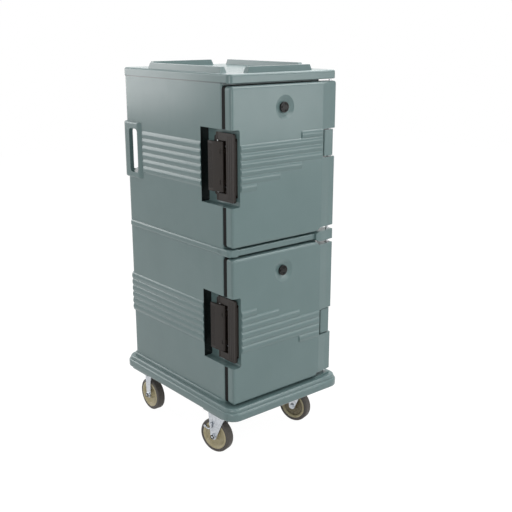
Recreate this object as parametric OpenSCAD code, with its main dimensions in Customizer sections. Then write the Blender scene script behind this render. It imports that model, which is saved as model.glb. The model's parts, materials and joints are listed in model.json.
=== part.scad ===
// Insulated food pan carrier: two stacked compartments in one rotationally moulded cabinet,
// a door on each, a wrap-round bumper base and four casters.
// Origin on the floor under the centre of the base, +Z up, doors facing -Y. Millimetres.

/* [Base] */
// Width of the bumper base, the widest part
base_w = 521; // [500:1:560]
// Depth of the bumper base, front to back
base_d = 689; // [670:1:740]
// Height of the underside of the base above the floor
base_z = 182; // [178:1:220]
// Height of the base, from its underside to the ledge under the lower door
base_h = 45; // [40:1:60]
// How far the bumper stands out past each side of the cabinet
side_over = 30; // [20:1:40]
// How far the bumper stands out past the back of the cabinet
back_over = 30; // [20:1:40]
// How far the bumper stands out past the doors
front_over = 24; // [15:1:35]
// Radius of the bumper's four corners in plan
bumper_r = 45; // [35:1:60]

/* [Cabinet] */
// Height of each door
door_h = 517; // [480:1:560]
// Thickness of each door
door_t = 47.5; // [40:0.5:56]
// Gap above and below each door
door_gap = 7; // [4:0.5:9]
// Gap between the back of a door and the cabinet
seal_gap = 2; // [1:0.1:3]
// Height of the rail between the doors
rail_h = 22; // [18:1:40]
// Thickness of the top slab
slab_h = 30; // [24:1:44]
// Height of the stacking ridges on the top
ridge_h = 19; // [10:1:26]
// Width of the opening of each compartment
bay_w = 337; // [330:1:345]
// Height of each compartment
bay_h = 450; // [420:1:460]
// Depth of each compartment
bay_d = 546; // [536:1:548]
// How far the compartments are set over towards the latch side
bay_shift = 8; // [0:1:10]
// Thickness of the moulded plastic skin
skin_t = 5; // [3:0.5:6]
// Radius of the cabinet's upright corners at the back
corner_r = 22; // [14:1:30]

/* [Pan rails] */
// Number of pan rails on each wall of a compartment
rail_n = 5; // [3:1:6]
// Spacing of the pan rails
rail_pitch = 76; // [60:1:80]
// How far a pan rail stands out from the wall
rail_out = 14; // [8:1:18]
// Radius of the rounded nose of a pan rail
rail_r = 7; // [5:0.5:9]

/* [Ribs] */
// Height of one moulded rib
rib_pitch = 25; // [18:0.5:26]
// How far a rib stands out from the face
rib_out = 4; // [2:0.5:6]

/* [Hinges] */
// Distance of the hinge line from the cabinet's side
hinge_in = 15.5; // [14:0.5:18]
// Distance of the hinge line behind the door's face
hinge_back = 20.5; // [19:0.5:24]
// Diameter of the steel hinge rods
rod_d = 10; // [8:0.5:12]
// Radial clearance of a rod in its bushes
run_gap = 0.06; // [0.02:0.01:0.1]

/* [Latches] */
// Height of the latch recess
latch_h = 248; // [200:1:280]
// Depth of the latch recess from the side
latch_deep = 33.5; // [30:0.5:38]
// Length of the latch recess along the side of the cabinet
latch_len = 114; // [104:1:120]
// Height of the latch lever
lever_h = 164; // [120:1:170]
// Height of the latch loop
loop_h = 222; // [215:1:228]

/* [Vents] */
// Diameter of the vent cap
vent_d = 35; // [30:1:50]
// Diameter of the dished recess around the vent cap
dish_d = 80; // [66:1:90]
// Drop of the vent's centre below the top of the door
vent_drop = 75; // [60:1:90]

/* [Casters] */
// Diameter of the wheels
wheel_d = 127; // [110:1:130]
// Width of the wheels
wheel_w = 32; // [26:1:36]
// Distance of each caster from the centre line
caster_x = 190; // [170:1:195]
// Distance of the front swivel pins from the centre of the base
front_y = 216; // [200:1:245]
// Distance of the rear wheels from the centre of the base
rear_y = 257; // [235:1:262]
// Trail of the swivel casters
trail = 36; // [30:1:44]
// How far both front casters are turned at rest, in degrees
swivel_turn = 15; // [-180:1:180]

/* [Hidden] */
$fn = 64;
// How far a cut runs past the solid that it opens
over = 12;
// Clearance between pieces that seat on each other
fit = 0.2;
shell_c = [0.47, 0.54, 0.54];
nylon_c = [0.19, 0.165, 0.15];
steel_c = [0.72, 0.73, 0.74];
foam_c = [0.88, 0.80, 0.55];
rubber_c = [0.16, 0.16, 0.17];
hub_c = [0.76, 0.70, 0.58];

// Cabinet outline
half_w = base_w / 2 - side_over;
body_w = 2 * half_w;
back_y = base_d / 2 - back_over;
face_y = -base_d / 2 + front_over;
panel_y = face_y + door_t + seal_gap;
base_top = base_z + base_h;
lower_z = base_top + door_gap;
rail_z = lower_z + door_h + door_gap;
upper_z = rail_z + rail_h + door_gap;
slab_z = upper_z + door_h + door_gap;
top_z = slab_z + slab_h;
door_z = [lower_z, upper_z];
// The upper door's pattern is the lower one's upside down
flip = [-1, 1];
function mid_z(i) = door_z[i] + door_h / 2;
bay_back_y = panel_y + bay_d;
bay_x = -bay_shift;
bay_r = 20;
panel_r = 5;
// Slab and rail over and between the doors
slab_back_in = 8.5;
slab_front_y = face_y + slab_back_in;
slab_r = 16;
slab_right_r = 9;
slab_edge = 8;
slab_groove = 3;
rail_edge = 4;
// Bumper tiers: how far the upper one is set in, and the lower one's share of the height
tier_in = 7;
tier_share = 0.7;
tier_z = base_z + tier_share * base_h;
bumper_edge = 9;
bumper_low = 7;
cove_out = 7;
cove_h = 12;
cove_edge = 6;
// Raised belt round the cabinet, level with the rail
belt_out = 6;
belt_r = 9;
belt_h = 26;
belt_mid_z = rail_z + rail_h / 2;

// Hinge line
hinge_x = half_w - hinge_in;
hinge_y = face_y + hinge_back;
rod_r = rod_d / 2;
rod_fit = 0.03;
bush_r = 9;
bush_l = 24;
bore_gap = 1;
// The front tapers back towards the hinge side
taper_in = 66;
taper_x = half_w - taper_in;
taper_drop = 8;
// Cut-back corner of the cabinet behind the hinges
corner_in = 42;
corner_back = 60;
// Blocks that stand up round the hinge rod, and the relief of the door over them
block_in = 72;
block_x = half_w - block_in;
block_slope = 14;
block_up = 6;
block_down = 8;
door_relief = 14;
relief_gap = 2;
relief_x = block_x + relief_gap;
// Middle hinge knuckle and the notch of the door round it
knuckle_off = 50;
notch_h = 98;
notch_in = 62;
notch_x = half_w - notch_in;
notch_r = 4;
// The notch is narrower behind this depth, clear of the seal
notch_deep = 25;
notch_step = 5.5;
notch_back_x = notch_x + notch_step;
knuckle_h = 90;
knuckle_in = 51;
knuckle_x = half_w - knuckle_in;
knuckle_w = 45;
knuckle_back = 7;
knuckle_y = face_y + knuckle_back;
knuckle_d = 34;
knuckle_r = 6;
web_w = 26;
web_d = 70;
// Clearance of the cove behind an open door
cove_clear = 18;

// Doors
door_r = 12;
door_hinge_r = 11;
door_edge = 10;
door_back_edge = 2;
door_skin_back = 9;
void_in = 76;
door_void_x = half_w - void_in;
plug_side = 14;
plug_t = 8;
plug_r = 24;
plug_edge = 4;
// The seal is set in from the door's sides and from its ends
gasket_side = 55;
gasket_end = 26.5;
gasket_w = 6;
gasket_deep = 5;
gasket_gap = 0.3;
gasket_r = 20;
gasket_out_w = body_w - 2 * gasket_side;
gasket_out_h = door_h - 2 * gasket_end;
dish_deep = 9;
dish_r = (pow(dish_d / 2, 2) + pow(dish_deep, 2)) / (2 * dish_deep);
vent_hole_r = 14;
vent_gap = 0.1;
vent_wall = 5;
cap_t = 6;
cap_lift = 0.4;
cap_bar_w = 7;
cap_bar_l = 26;
cap_bar_t = 2.5;
cap_edge = 2.5;
cap_slot_w = 4;
cap_slot_l = 16;

// Moulded ribs
rib_n = 6;
rib_valley = 0.6;
rib_rise = rib_out - rib_valley;
rib_r = (pow(rib_pitch / 2, 2) + pow(rib_rise, 2)) / (2 * rib_rise);
rib_deep = rib_r - rib_out;
rib_in = 3;
rib_start_x = -half_w + latch_deep + rib_in;
rib_step_shares = [0.18, 0.46, 0.73, 1, 1, 1];
rib_last_share = 0.73;
rib_end_x = taper_x;
rib_back_in = 118;
rib_back_y = back_y - rib_back_in;
rib_low_back_in = 9;
rib_low_back_y = back_y - rib_low_back_in;

// Stacking ridges on the top
ridge_w = 24;
ridge_slope = 7;
ridge_foot = 7;
ridge_x_in = 14;
ridge_back_in = 32;
ridge_front_in = 22;
ridge_side_l = 416;
ridge_side_shift = 43;
ridge_end_l = 276;

// Handles moulded into the rear corners
grip_drop = 100;
grip_z = mid_z(1) - grip_drop;
grip_h = 205;
grip_out = 9;
grip_len = 118;
grip_back_len = 86;
grip_r = 26;
grip_edge = 7;
slot_low = 22;
slot_top = 24;
post_side = 44;
post_back = 24;
post_t = 16;
slot_side_l = 54;
slot_side_deep = 42;
slot_back_w = 34;
slot_back_deep = 34;
slot_r = 12;
slot_lap = 6;

// Latch: places are measured from the cabinet's side and from the front of its side wall
latch_r = 8;
latch_floor_x = -half_w + latch_deep;
latch_back_y = panel_y + latch_len;
base_plate_t = 2.5;
pin_out = 13;
pin_x = latch_floor_x - pin_out;
pin_back = 25;
pin_y = panel_y + pin_back;
loop_pin_back = 24;
loop_pin_y = pin_y + loop_pin_back;
loop_pin_in = 1;
loop_pin_x = pin_x + loop_pin_in;
pin_r = 3;
pin_gap = 0.06;
lever_r = 7;
lever_back_l = 60;
lever_t = 7;
lever_in = 6.5;
lever_face_x = -half_w + lever_in;
lug_h = 14;
lug_off = 50;
lug_r = 6.5;
lug_gap = 0.5;
lug_clear = 10;
loop_t = 8;
loop_arm_h = 25;
loop_bar_w = 42;
loop_back = 8.5;
loop_front_y = face_y + loop_back;
loop_eye_r = 6;
loop_r = 6;
hook_t = 5;
hook_root = 2;
hook_gap = 0.4;
keeper_t = 2.5;
keeper_lip_w = 6;
keeper_lip_t = 3.4;
keeper_end = 15;
keeper_front = 4;
keeper_back = 3.5;
screw_r = 4;
screw_t = 1.4;
screw_shank_r = 2;
screw_l = 7;
screw_low = 66;
base_screw_low = 22;
base_screw_in = 10;
hole_end = 0.3;
base_front_in = 8;
base_back_in = 34;
base_end = 26;

// Casters
wheel_r = wheel_d / 2;
pad_h = 12;
pad_w = 112;
pad_d = 124;
pad_r = 12;
plate_t = 4;
plate_w = 92;
plate_d = 104;
plate_r = 8;
bolt_dx = 66;
bolt_dy = 78;
bolt_r = 4;
bolt_head_r = 7;
bolt_head_t = 5;
bolt_l = 10;
plate_z = base_z - pad_h - plate_t;
race_r = 31;
race_t = 8;
race_edge = 4;
swivel_gap = 0.3;
crown_t = 4;
crown_r = 27;
leg_t = 3.5;
leg_gap = 2.5;
leg_front = 56;
leg_rear = 22;
flange_w = 15;
flange_low_w = 4;
flange_t = 2.5;
flange_low = 58;
rigid_top_w = 40;
leg_low_r = 13;
leg_out = wheel_w / 2 + leg_gap + leg_t;
crown_z = plate_z - race_t - swivel_gap - crown_t;
king_r = 6;
king_head_r = 10;
king_head_t = 4;
axle_r = 6;
axle_head_r = 10;
axle_head_t = 6;
bush_wall = 2.5;
hub_r = 15;
tyre_t = 12.5;
rim_r = wheel_r - tyre_t;
rim_t = 7;
web_t = 7;
web_in = 2;
tyre_edge = 5;
// Brake lever: places are measured back from the axle and up from it
brake_y = 7;
brake_z = 48;
brake_pin_r = 4;
brake_boss_r = 6.5;
brake_boss_t = 8;
brake_bend_r = 14;
brake_bar_r = 3;
brake_tilt = 27;
brake_off = 1;
brake_foot_r = 5;
brake_foot_l = 10;

// Box between two corners
module span(x0, x1, y0, y1, z0, z1) {
    translate([x0, y0, z0]) cube([x1 - x0, y1 - y0, z1 - z0]);
}

// Quarter of a disc, in the corner above and to the right of its centre
module quarter_round(r) {
    intersection() {
        circle(r);
        square(r);
    }
}

// Half of an upright section, from the middle out to half, with rounded top and bottom edges
module edge_side(half, h, et, eb) {
    square([half - max(et, eb), h]);
    translate([0, eb]) square([half, h - et - eb]);
    if (et > 0) translate([half - et, h - et]) quarter_round(et);
    if (et > 0 && et < eb) translate([0, h - et]) square([half - et, et]);
    if (eb > 0) translate([half - eb, eb]) mirror([0, 1]) quarter_round(eb);
    if (eb > 0 && eb < et) square([half - eb, eb]);
}

// Corner of a soft block: a quarter turn of the section
module soft_corner(x, y, turn, r, h, et, eb) {
    translate([x, y, 0]) rotate([0, 0, turn]) rotate_extrude(angle = 90) edge_side(r, h, et, eb);
}

// Block centred in plan with upright corners of radius rl on the left and rr on the right,
// and with its top edges rounded by et and its bottom edges by eb
module soft_block(w, d, h, rl, rr, et, eb) {
    xl = -w / 2 + rl;
    xr = w / 2 - rr;
    yl = d / 2 - rl;
    yr = d / 2 - rr;
    translate([xl, 0, 0]) rotate([90, 0, 90]) linear_extrude(xr - xl) {
        edge_side(d / 2, h, et, eb);
        mirror([1, 0]) edge_side(d / 2, h, et, eb);
    }
    translate([xl, yl, 0]) rotate([90, 0, 0]) linear_extrude(2 * yl)
        mirror([1, 0]) edge_side(rl, h, et, eb);
    translate([xr, yr, 0]) rotate([90, 0, 0]) linear_extrude(2 * yr) edge_side(rr, h, et, eb);
    soft_corner(xl, -yl, 180, rl, h, et, eb);
    soft_corner(xl, yl, 90, rl, h, et, eb);
    soft_corner(xr, -yr, 270, rr, h, et, eb);
    soft_corner(xr, yr, 0, rr, h, et, eb);
}

// Rectangle with rounded corners, centred
module round_rect(w, d, r) {
    square([w - 2 * r, d], center = true);
    square([w, d - 2 * r], center = true);
    for (x = [-1, 1], y = [-1, 1]) translate([x * (w / 2 - r), y * (d / 2 - r)]) circle(r);
}

// Prism of a rounded rectangle seen from the front, between two depths
module front_prism(x, z, w, h, r, y0, y1) {
    translate([x, y1, z]) rotate([90, 0, 0]) linear_extrude(y1 - y0) round_rect(w, h, r);
}

// Soft block that faces the front, its outer face at y0
module front_block(x, z, w, h, t, rl, rr, et, eb, y0) {
    translate([x, y0 + t, z]) rotate([90, 0, 0]) soft_block(w, h, t, rl, rr, et, eb);
}

// One moulded rib, a long round whose crown stands out of a face
module rib_bar(l) {
    cylinder(r = rib_r, h = l);
}

// The taper of the front towards the hinge side, as a cut
module taper_cut(z0, z1) {
    slope = taper_drop / (half_w - taper_x);
    far_x = half_w + over;
    translate([0, 0, z0]) linear_extrude(z1 - z0) polygon([
        [taper_x, face_y],
        [far_x, face_y + slope * (far_x - taper_x)],
        [far_x, face_y - over],
        [taper_x, face_y - over]
    ]);
}

// Plan of the cabinet's walls behind the doors, with its front right corner cut back
module wall_plan() {
    difference() {
        union() {
            for (s = [-1, 1]) {
                translate([s * (half_w - corner_r), back_y - corner_r]) circle(corner_r);
                translate([s * (half_w - panel_r), panel_y + panel_r]) circle(panel_r);
            }
            translate([-half_w, panel_y + panel_r]) square([body_w, back_y - panel_y - panel_r - corner_r]);
            translate([-half_w + panel_r, panel_y]) square([body_w - 2 * panel_r, panel_r]);
            translate([-half_w + corner_r, back_y - corner_r]) square([body_w - 2 * corner_r, corner_r]);
        }
        polygon([
            [half_w - corner_in, panel_y],
            [half_w, panel_y + corner_back],
            [half_w + over, panel_y + corner_back],
            [half_w + over, panel_y - over],
            [half_w - corner_in, panel_y - over]
        ]);
    }
}

// Raised block round the hinge rod, sloped on its left, on the base or on the rail
module hinge_block(z, up) {
    foot = up > 0 ? -over : over;
    translate([0, hinge_y + hinge_back, z]) rotate([90, 0, 0]) linear_extrude(2 * hinge_back) polygon([
        [block_x - block_slope, foot],
        [block_x - block_slope, 0],
        [block_x, up],
        [half_w, up],
        [half_w, foot]
    ]);
}

// Relief of a door's end over a hinge block, sloped like the block
module end_relief(z, up) {
    out = up > 0 ? -over : over;
    translate([0, panel_y + over, z]) rotate([90, 0, 0]) linear_extrude(panel_y - face_y + 2 * over) polygon([
        [relief_x - block_slope, out],
        [relief_x - block_slope, 0],
        [relief_x, up],
        [half_w + over, up],
        [half_w + over, out]
    ]);
}

// Middle knuckle of a hinge, carried by a web from the cut-back corner
module middle_knuckle(i) {
    z0 = mid_z(i) + flip[i] * knuckle_off - knuckle_h / 2;
    translate([knuckle_x + knuckle_w / 2, knuckle_y + knuckle_d / 2, z0])
        linear_extrude(knuckle_h) round_rect(knuckle_w, knuckle_d, knuckle_r);
    span(knuckle_x, knuckle_x + web_w, knuckle_y + knuckle_d / 2, knuckle_y + web_d, z0, z0 + knuckle_h);
}

// Seven staggered ribs on a door, six of them from the latch side and a short one at the hinge side
module door_ribs(i) {
    run = rib_end_x - rib_start_x;
    for (k = [0:rib_n]) {
        from = k < rib_n ? rib_start_x : rib_start_x + run * rib_last_share;
        to = k < rib_n ? rib_start_x + run * rib_step_shares[k] : rib_end_x;
        translate([from, face_y + rib_deep, rib_z(i, k)]) rotate([0, 90, 0]) rib_bar(to - from);
    }
}

// Height of the middle of a rib
function rib_z(i, k) = mid_z(i) + flip[i] * rib_pitch * (k - (rib_n - 1) / 2);

// Ribs on the side walls, six to each compartment
module side_ribs(i) {
    y0 = panel_y + latch_len - over;
    y1 = i == 1 ? rib_back_y : rib_low_back_y;
    for (s = [-1, 1], k = [0:rib_n - 1])
        translate([s * (half_w - rib_deep), y0, rib_z(i, k)]) rotate([-90, 0, 0]) rib_bar(y1 - y0);
}

// Bar of trapezium section with sloped ends, on the top slab
module ridge(l, w, turn, x, y) {
    translate([x, y, top_z - ridge_foot]) rotate([0, 0, turn]) intersection() {
        translate([0, w / 2, 0]) rotate([90, 0, 0]) linear_extrude(w) ridge_side(l, ridge_slope);
        translate([-l / 2, 0, 0]) rotate([90, 0, 90]) linear_extrude(l) ridge_side(w, ridge_slope / 2);
    }
}

// Trapezium on a foot that is let into the slab
module ridge_side(l, slope) {
    polygon([
        [-l / 2, 0], [l / 2, 0],
        [l / 2, ridge_foot], [l / 2 - slope, ridge_h + ridge_foot],
        [-l / 2 + slope, ridge_h + ridge_foot], [-l / 2, ridge_foot]
    ]);
}

module stacking_ridges() {
    side_x = half_w - ridge_x_in - ridge_w / 2;
    mid_y = (slab_front_y + back_y) / 2;
    for (s = [-1, 1]) ridge(ridge_side_l, ridge_w, 90, s * side_x, mid_y + s * ridge_side_shift);
    ridge(ridge_end_l, ridge_w, 0, 0, slab_front_y + ridge_front_in + ridge_w / 2);
    ridge(ridge_end_l, ridge_w, 0, 0, back_y - ridge_back_in - ridge_w / 2);
}

// Raised frame of a handle, wrapped round a rear corner
module grip_frame(s) {
    y0 = back_y - grip_len;
    x0 = half_w - grip_back_len;
    w = half_w + grip_out - x0;
    d = back_y + grip_out - y0;
    translate([s * (x0 + w / 2), y0 + d / 2, grip_z])
        soft_block(w, d, grip_h, grip_r, grip_r, grip_edge, grip_edge);
}

// Slot behind the corner post of a handle: in from the side, round the post and out at the back
module grip_slot(s) {
    z0 = grip_z + slot_low;
    h = grip_h - slot_low - slot_top;
    y1 = back_y - post_side + grip_out / 2;
    x1 = half_w - post_back;
    in_x = half_w - slot_side_deep;
    post_x = half_w + grip_out - post_t;
    post_y = back_y + grip_out - post_t;
    mouth = post_t + slot_r + slot_lap + over;
    back = slot_back_deep + grip_out + over;
    translate([s * (in_x + post_x) / 2, (y1 - slot_side_l + post_y) / 2, z0]) linear_extrude(h)
        round_rect(post_x - in_x, post_y - y1 + slot_side_l, slot_r);
    translate([s * (half_w + grip_out + over - mouth / 2), y1 - slot_side_l / 2, z0 + h / 2])
        rotate([0, 90, 0]) linear_extrude(mouth, center = true) round_rect(h, slot_side_l, slot_r);
    translate([s * (x1 - slot_back_w / 2), back_y + grip_out + over - back / 2, z0 + h / 2])
        rotate([90, 0, 0]) linear_extrude(back, center = true) round_rect(slot_back_w, h, slot_r);
}

// Recess of a latch, open at the side and at the front
module latch_recess(i, grow) {
    front_prism(-half_w, mid_z(i), 2 * (latch_deep + grow), latch_h + 2 * grow, latch_r,
        face_y - over, latch_back_y + grow);
}

// Solid outline of the cabinet before its compartments are opened
module cabinet_outline() {
    cove_d = back_y - panel_y + cove_out;
    translate([0, 0, base_z]) soft_block(base_w, base_d, tier_z - base_z, bumper_r, bumper_r,
        bumper_edge, bumper_low);
    translate([0, 0, base_z + bumper_low]) soft_block(base_w - 2 * tier_in, base_d - 2 * tier_in,
        base_h - bumper_low, bumper_r - tier_in, bumper_r - tier_in, bumper_edge, 0);
    // cove round the foot of the walls, left out where the lower door swings
    difference() {
        translate([0, panel_y + cove_d / 2, base_top - cove_edge]) soft_block(body_w + 2 * cove_out, cove_d,
            cove_h + cove_edge, corner_r + cove_out, corner_r + cove_out, cove_edge, 0);
        span(half_w - corner_in, half_w + over, face_y, panel_y + corner_back + cove_clear,
            base_top, base_top + base_h);
    }
    translate([0, 0, base_z + skin_t]) linear_extrude(slab_z + slab_h / 2 - base_z - skin_t) wall_plan();
    translate([0, (slab_front_y + back_y) / 2, slab_z]) soft_block(body_w, back_y - slab_front_y, slab_h,
        slab_r, slab_right_r, slab_edge, slab_groove);
    // rail between the doors
    rail_d = panel_y + corner_back - slab_front_y + over;
    translate([0, slab_front_y + rail_d / 2, rail_z]) soft_block(body_w, rail_d, rail_h,
        slab_r, slab_r, rail_edge, rail_edge);
    hinge_block(base_top, block_up);
    hinge_block(rail_z + rail_h, block_up);
    hinge_block(rail_z, -block_down);
    for (i = [0, 1]) {
        middle_knuckle(i);
        side_ribs(i);
    }
    stacking_ridges();
    for (s = [-1, 1]) {
        grip_frame(s);
        belt_bar(s * (half_w + belt_out - belt_r));
    }
    for (x = [-1, 1], y = [-front_y, rear_y])
        translate([x * caster_x, y, base_z - pad_h]) linear_extrude(pad_h + skin_t)
            round_rect(pad_w, pad_d, pad_r);
}

// Side belt: two rounds with a flat between them
module belt_bar(x) {
    y0 = panel_y + panel_r;
    y1 = back_y - corner_r;
    half_h = belt_h / 2 - belt_r;
    for (z = [-half_h, half_h]) translate([x, y0, belt_mid_z + z]) rotate([-90, 0, 0])
        cylinder(r = belt_r, h = y1 - y0);
    span(x - belt_r, x + belt_r, y0, y1, belt_mid_z - half_h, belt_mid_z + half_h);
}

// Compartment, with its pan rails left standing
module bay(i) {
    difference() {
        front_prism(bay_x, mid_z(i), bay_w, bay_h, bay_r, panel_y - over, bay_back_y);
        for (s = [-1, 1], k = [0:rail_n - 1]) pan_rail(s, mid_z(i) + rail_pitch * (k - (rail_n - 1) / 2));
    }
}

// Pan rail with a rounded nose
module pan_rail(s, z) {
    y0 = panel_y + bay_r;
    l = bay_back_y + over - y0;
    root = bay_w / 2 + over;
    nose = bay_w / 2 - rail_out + rail_r;
    translate([bay_x + s * nose, y0, z]) rotate([-90, 0, 0]) cylinder(r = rail_r, h = l);
    translate([bay_x + s * (nose + root) / 2, y0 + l / 2, z])
        cube([root - nose, l, 2 * rail_r], center = true);
}

// Space inside the double wall, filled with foam
module wall_void(less) {
    in_w = half_w - skin_t - less;
    in_y0 = panel_y + skin_t + less;
    in_y1 = back_y - skin_t - less;
    z0 = base_z + skin_t + less;
    out = skin_t + less;
    difference() {
        translate([0, (in_y0 + in_y1) / 2, z0]) linear_extrude(top_z - skin_t - less - z0)
            round_rect(2 * in_w, in_y1 - in_y0, corner_r - skin_t - less);
        for (i = [0, 1]) {
            front_prism(bay_x, mid_z(i), bay_w + 2 * out, bay_h + 2 * out, bay_r,
                panel_y - over, bay_back_y + out);
            latch_recess(i, out);
        }
        // solid corners at the handles
        for (s = [-1, 1]) {
            w = half_w - bay_x - bay_w / 2 + less + over;
            d = grip_len - grip_edge + less + over;
            h = grip_h + 2 * out;
            translate([s * (half_w + over - w / 2), back_y + over - d / 2, grip_z + grip_h / 2])
                cube([w, d, h], center = true);
        }
        // solid corner at the hinges
        span(half_w - corner_in - out, half_w + over, panel_y, panel_y + corner_back + out + skin_t,
            base_z, top_z);
    }
}

module cabinet_shell() {
    rod_mid = rail_z + rail_h / 2;
    color(shell_c) difference() {
        cabinet_outline();
        wall_void(0);
        for (i = [0, 1]) {
            bay(i);
            latch_recess(i, 0);
            for (s = [-1, 1]) base_screw_at(i, s) screw_hole(base_plate_t);
        }
        for (s = [-1, 1]) grip_slot(s);
        taper_cut(base_top, top_z - slab_edge);
        translate([hinge_x, hinge_y, base_z + skin_t])
            cylinder(r = rod_r + rod_fit, h = slab_z + slab_h / 2 - base_z - skin_t);
        for (x = [-1, 1], y = [-front_y, rear_y])
            translate([x * caster_x, y, plate_z]) bolt_holes(bolt_r + rod_fit);
    }
}

module cabinet_foam() {
    color(foam_c) wall_void(fit);
}

// Stainless rod of one door, held in the base and the rail, or in the rail and the slab
module hinge_rod(i) {
    end_gap = skin_t / 2;
    z0 = i == 0 ? base_z + 2 * skin_t : rail_z + rail_h / 2 + end_gap;
    z1 = i == 0 ? rail_z + rail_h / 2 - end_gap : slab_z + slab_h / 2 - end_gap;
    color(steel_c) translate([hinge_x, hinge_y, z0]) cylinder(r = rod_r, h = z1 - z0);
}

// Heights where a bush sits in a door, one at each end and one each side of the middle notch
function notch_z(i) = mid_z(i) + flip[i] * knuckle_off;
function low_end(i) = door_z[i] + door_relief;
function top_end(i) = door_z[i] + door_h - (i == 0 ? door_relief : 0);
function bush_z(i) = [
    low_end(i),
    notch_z(i) - notch_h / 2 - bush_l,
    notch_z(i) + notch_h / 2,
    top_end(i) - bush_l
];

// The latch recess continues into the door, flush with the cabinet's
module door_cuts(i) {
    latch_recess(i, 0);
    taper_cut(door_z[i] - over, door_z[i] + door_h + over);
    end_relief(door_z[i], door_relief);
    if (i == 0) end_relief(door_z[i] + door_h, -door_relief);
    // notch round the middle knuckle
    far_x = half_w + over;
    front_prism((notch_x + far_x) / 2, notch_z(i), far_x - notch_x, notch_h, notch_r,
        face_y - over, face_y + notch_deep);
    front_prism((notch_back_x + far_x) / 2, notch_z(i), far_x - notch_back_x, notch_h, notch_r,
        face_y - over, panel_y + over);
    // dish and bore of the vent
    vent_at(i) {
        translate([0, 0, dish_deep - dish_r]) sphere(r = dish_r);
        translate([0, 0, -over]) cylinder(r = vent_hole_r, h = door_t + plug_t + 2 * over);
    }
    // bores for the hinge rod and its bushes
    translate([hinge_x, hinge_y, door_z[i] - over]) cylinder(r = rod_r + bore_gap, h = door_h + 2 * over);
    for (z = bush_z(i)) translate([hinge_x, hinge_y, z]) cylinder(r = bush_r + rod_fit, h = bush_l);
    // groove of the gasket
    gasket_frame(i, 0, gasket_w, panel_y - seal_gap - gasket_deep, panel_y + over);
    for (s = [-1, 1]) keeper_screw_at(i, s) screw_hole(keeper_t);
}

// Place of a vent in its door, its axis running into the door
module vent_at(i) {
    translate([bay_x, face_y, door_z[i] + door_h - vent_drop]) rotate([-90, 0, 0]) children();
}

// Frame that runs round a compartment, set in by a distance from the outline of the seal
module gasket_frame(i, set_in, w, y0, y1) {
    out_w = gasket_out_w - 2 * set_in;
    out_h = gasket_out_h - 2 * set_in;
    difference() {
        front_prism(bay_x, mid_z(i), out_w, out_h, gasket_r - set_in, y0, y1);
        front_prism(bay_x, mid_z(i), out_w - 2 * w, out_h - 2 * w, gasket_r - set_in - w,
            y0 - over, y1 + over);
    }
}

// Space inside the door's double wall
module door_void(i, less) {
    out = skin_t + less;
    x0 = -half_w + out;
    x1 = door_void_x - less;
    difference() {
        front_prism((x0 + x1) / 2, mid_z(i), x1 - x0, door_h - 2 * out, door_r - out,
            face_y + out, panel_y - seal_gap - door_skin_back - less);
        latch_recess(i, out);
        vent_at(i) {
            translate([0, 0, dish_deep - dish_r]) sphere(r = dish_r + out);
            cylinder(r = vent_hole_r + vent_wall + less, h = door_t + over);
        }
    }
}

module door_shell(i) {
    color(shell_c) difference() {
        union() {
            front_block(0, mid_z(i), body_w, door_h, door_t, door_r, door_hinge_r,
                door_edge, door_back_edge, face_y);
            door_ribs(i);
            // raised plug that enters the compartment
            translate([bay_x, panel_y - seal_gap - door_back_edge, mid_z(i)]) rotate([-90, 0, 0])
                soft_block(bay_w - 2 * plug_side, bay_h - 2 * plug_side, plug_t + door_back_edge,
                    plug_r, plug_r, plug_edge, 0);
        }
        door_void(i, 0);
        door_cuts(i);
    }
}

module door_foam(i) {
    color(foam_c) door_void(i, fit);
}

// Seal between the door and the cabinet, with a channel that lets its lips give
module door_gasket(i) {
    lip = gasket_w / 4;
    back = panel_y - gasket_gap;
    color(rubber_c) difference() {
        gasket_frame(i, fit, gasket_w - 2 * fit, panel_y - seal_gap - gasket_deep + fit, back);
        gasket_frame(i, fit + lip, gasket_w - 2 * fit - 2 * lip, back - lip, back + over);
    }
}

// Nylon bushes of the hinge rod, pressed into the door
module door_bushes(i) {
    color(nylon_c) for (z = bush_z(i)) translate([hinge_x, hinge_y, z]) difference() {
        cylinder(r = bush_r, h = bush_l);
        translate([0, 0, -over]) cylinder(r = rod_r + run_gap, h = bush_l + 2 * over);
    }
}

// Vent cap: a disc in the dish, with a grip bar, two vent slots and a hollow stem through the door
module vent_cap(i) {
    r = vent_d / 2;
    // depth of the dish under the rim of the cap
    rim_deep = dish_deep - dish_r + sqrt(dish_r * dish_r - r * r);
    front = rim_deep - cap_lift - cap_t;
    stem = door_t + plug_t - skin_t - front;
    color(nylon_c) vent_at(i) translate([0, 0, front]) difference() {
        union() {
            rotate_extrude() difference() {
                edge_side(r, cap_t, 0, cap_edge);
                translate([0, -over]) square([vent_hole_r / 2, cap_t + 2 * over]);
            }
            cylinder(r = vent_hole_r - vent_gap, h = stem);
            translate([0, 0, -cap_bar_t]) linear_extrude(2 * cap_bar_t)
                round_rect(cap_bar_l, cap_bar_w, cap_bar_w / 4);
        }
        for (s = [-1, 1]) translate([0, s * (r + cap_bar_w / 2) / 2, -over])
            linear_extrude(over + cap_t / 2) round_rect(cap_slot_l, cap_slot_w, cap_slot_w / 4);
        translate([0, 0, cap_t]) cylinder(r = vent_hole_r / 2, h = stem);
    }
}

// Lug of the latch base, which carries the lever's pin
module latch_lug(z) {
    translate([pin_x, pin_y, z - lug_h / 2]) difference() {
        union() {
            cylinder(r = lug_r, h = lug_h);
            translate([0, -lug_r, 0]) cube([pin_out - base_plate_t / 2, 2 * lug_r, lug_h]);
        }
        translate([0, 0, -over]) cylinder(r = pin_r + rod_fit, h = lug_h + 2 * over);
    }
}

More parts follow.
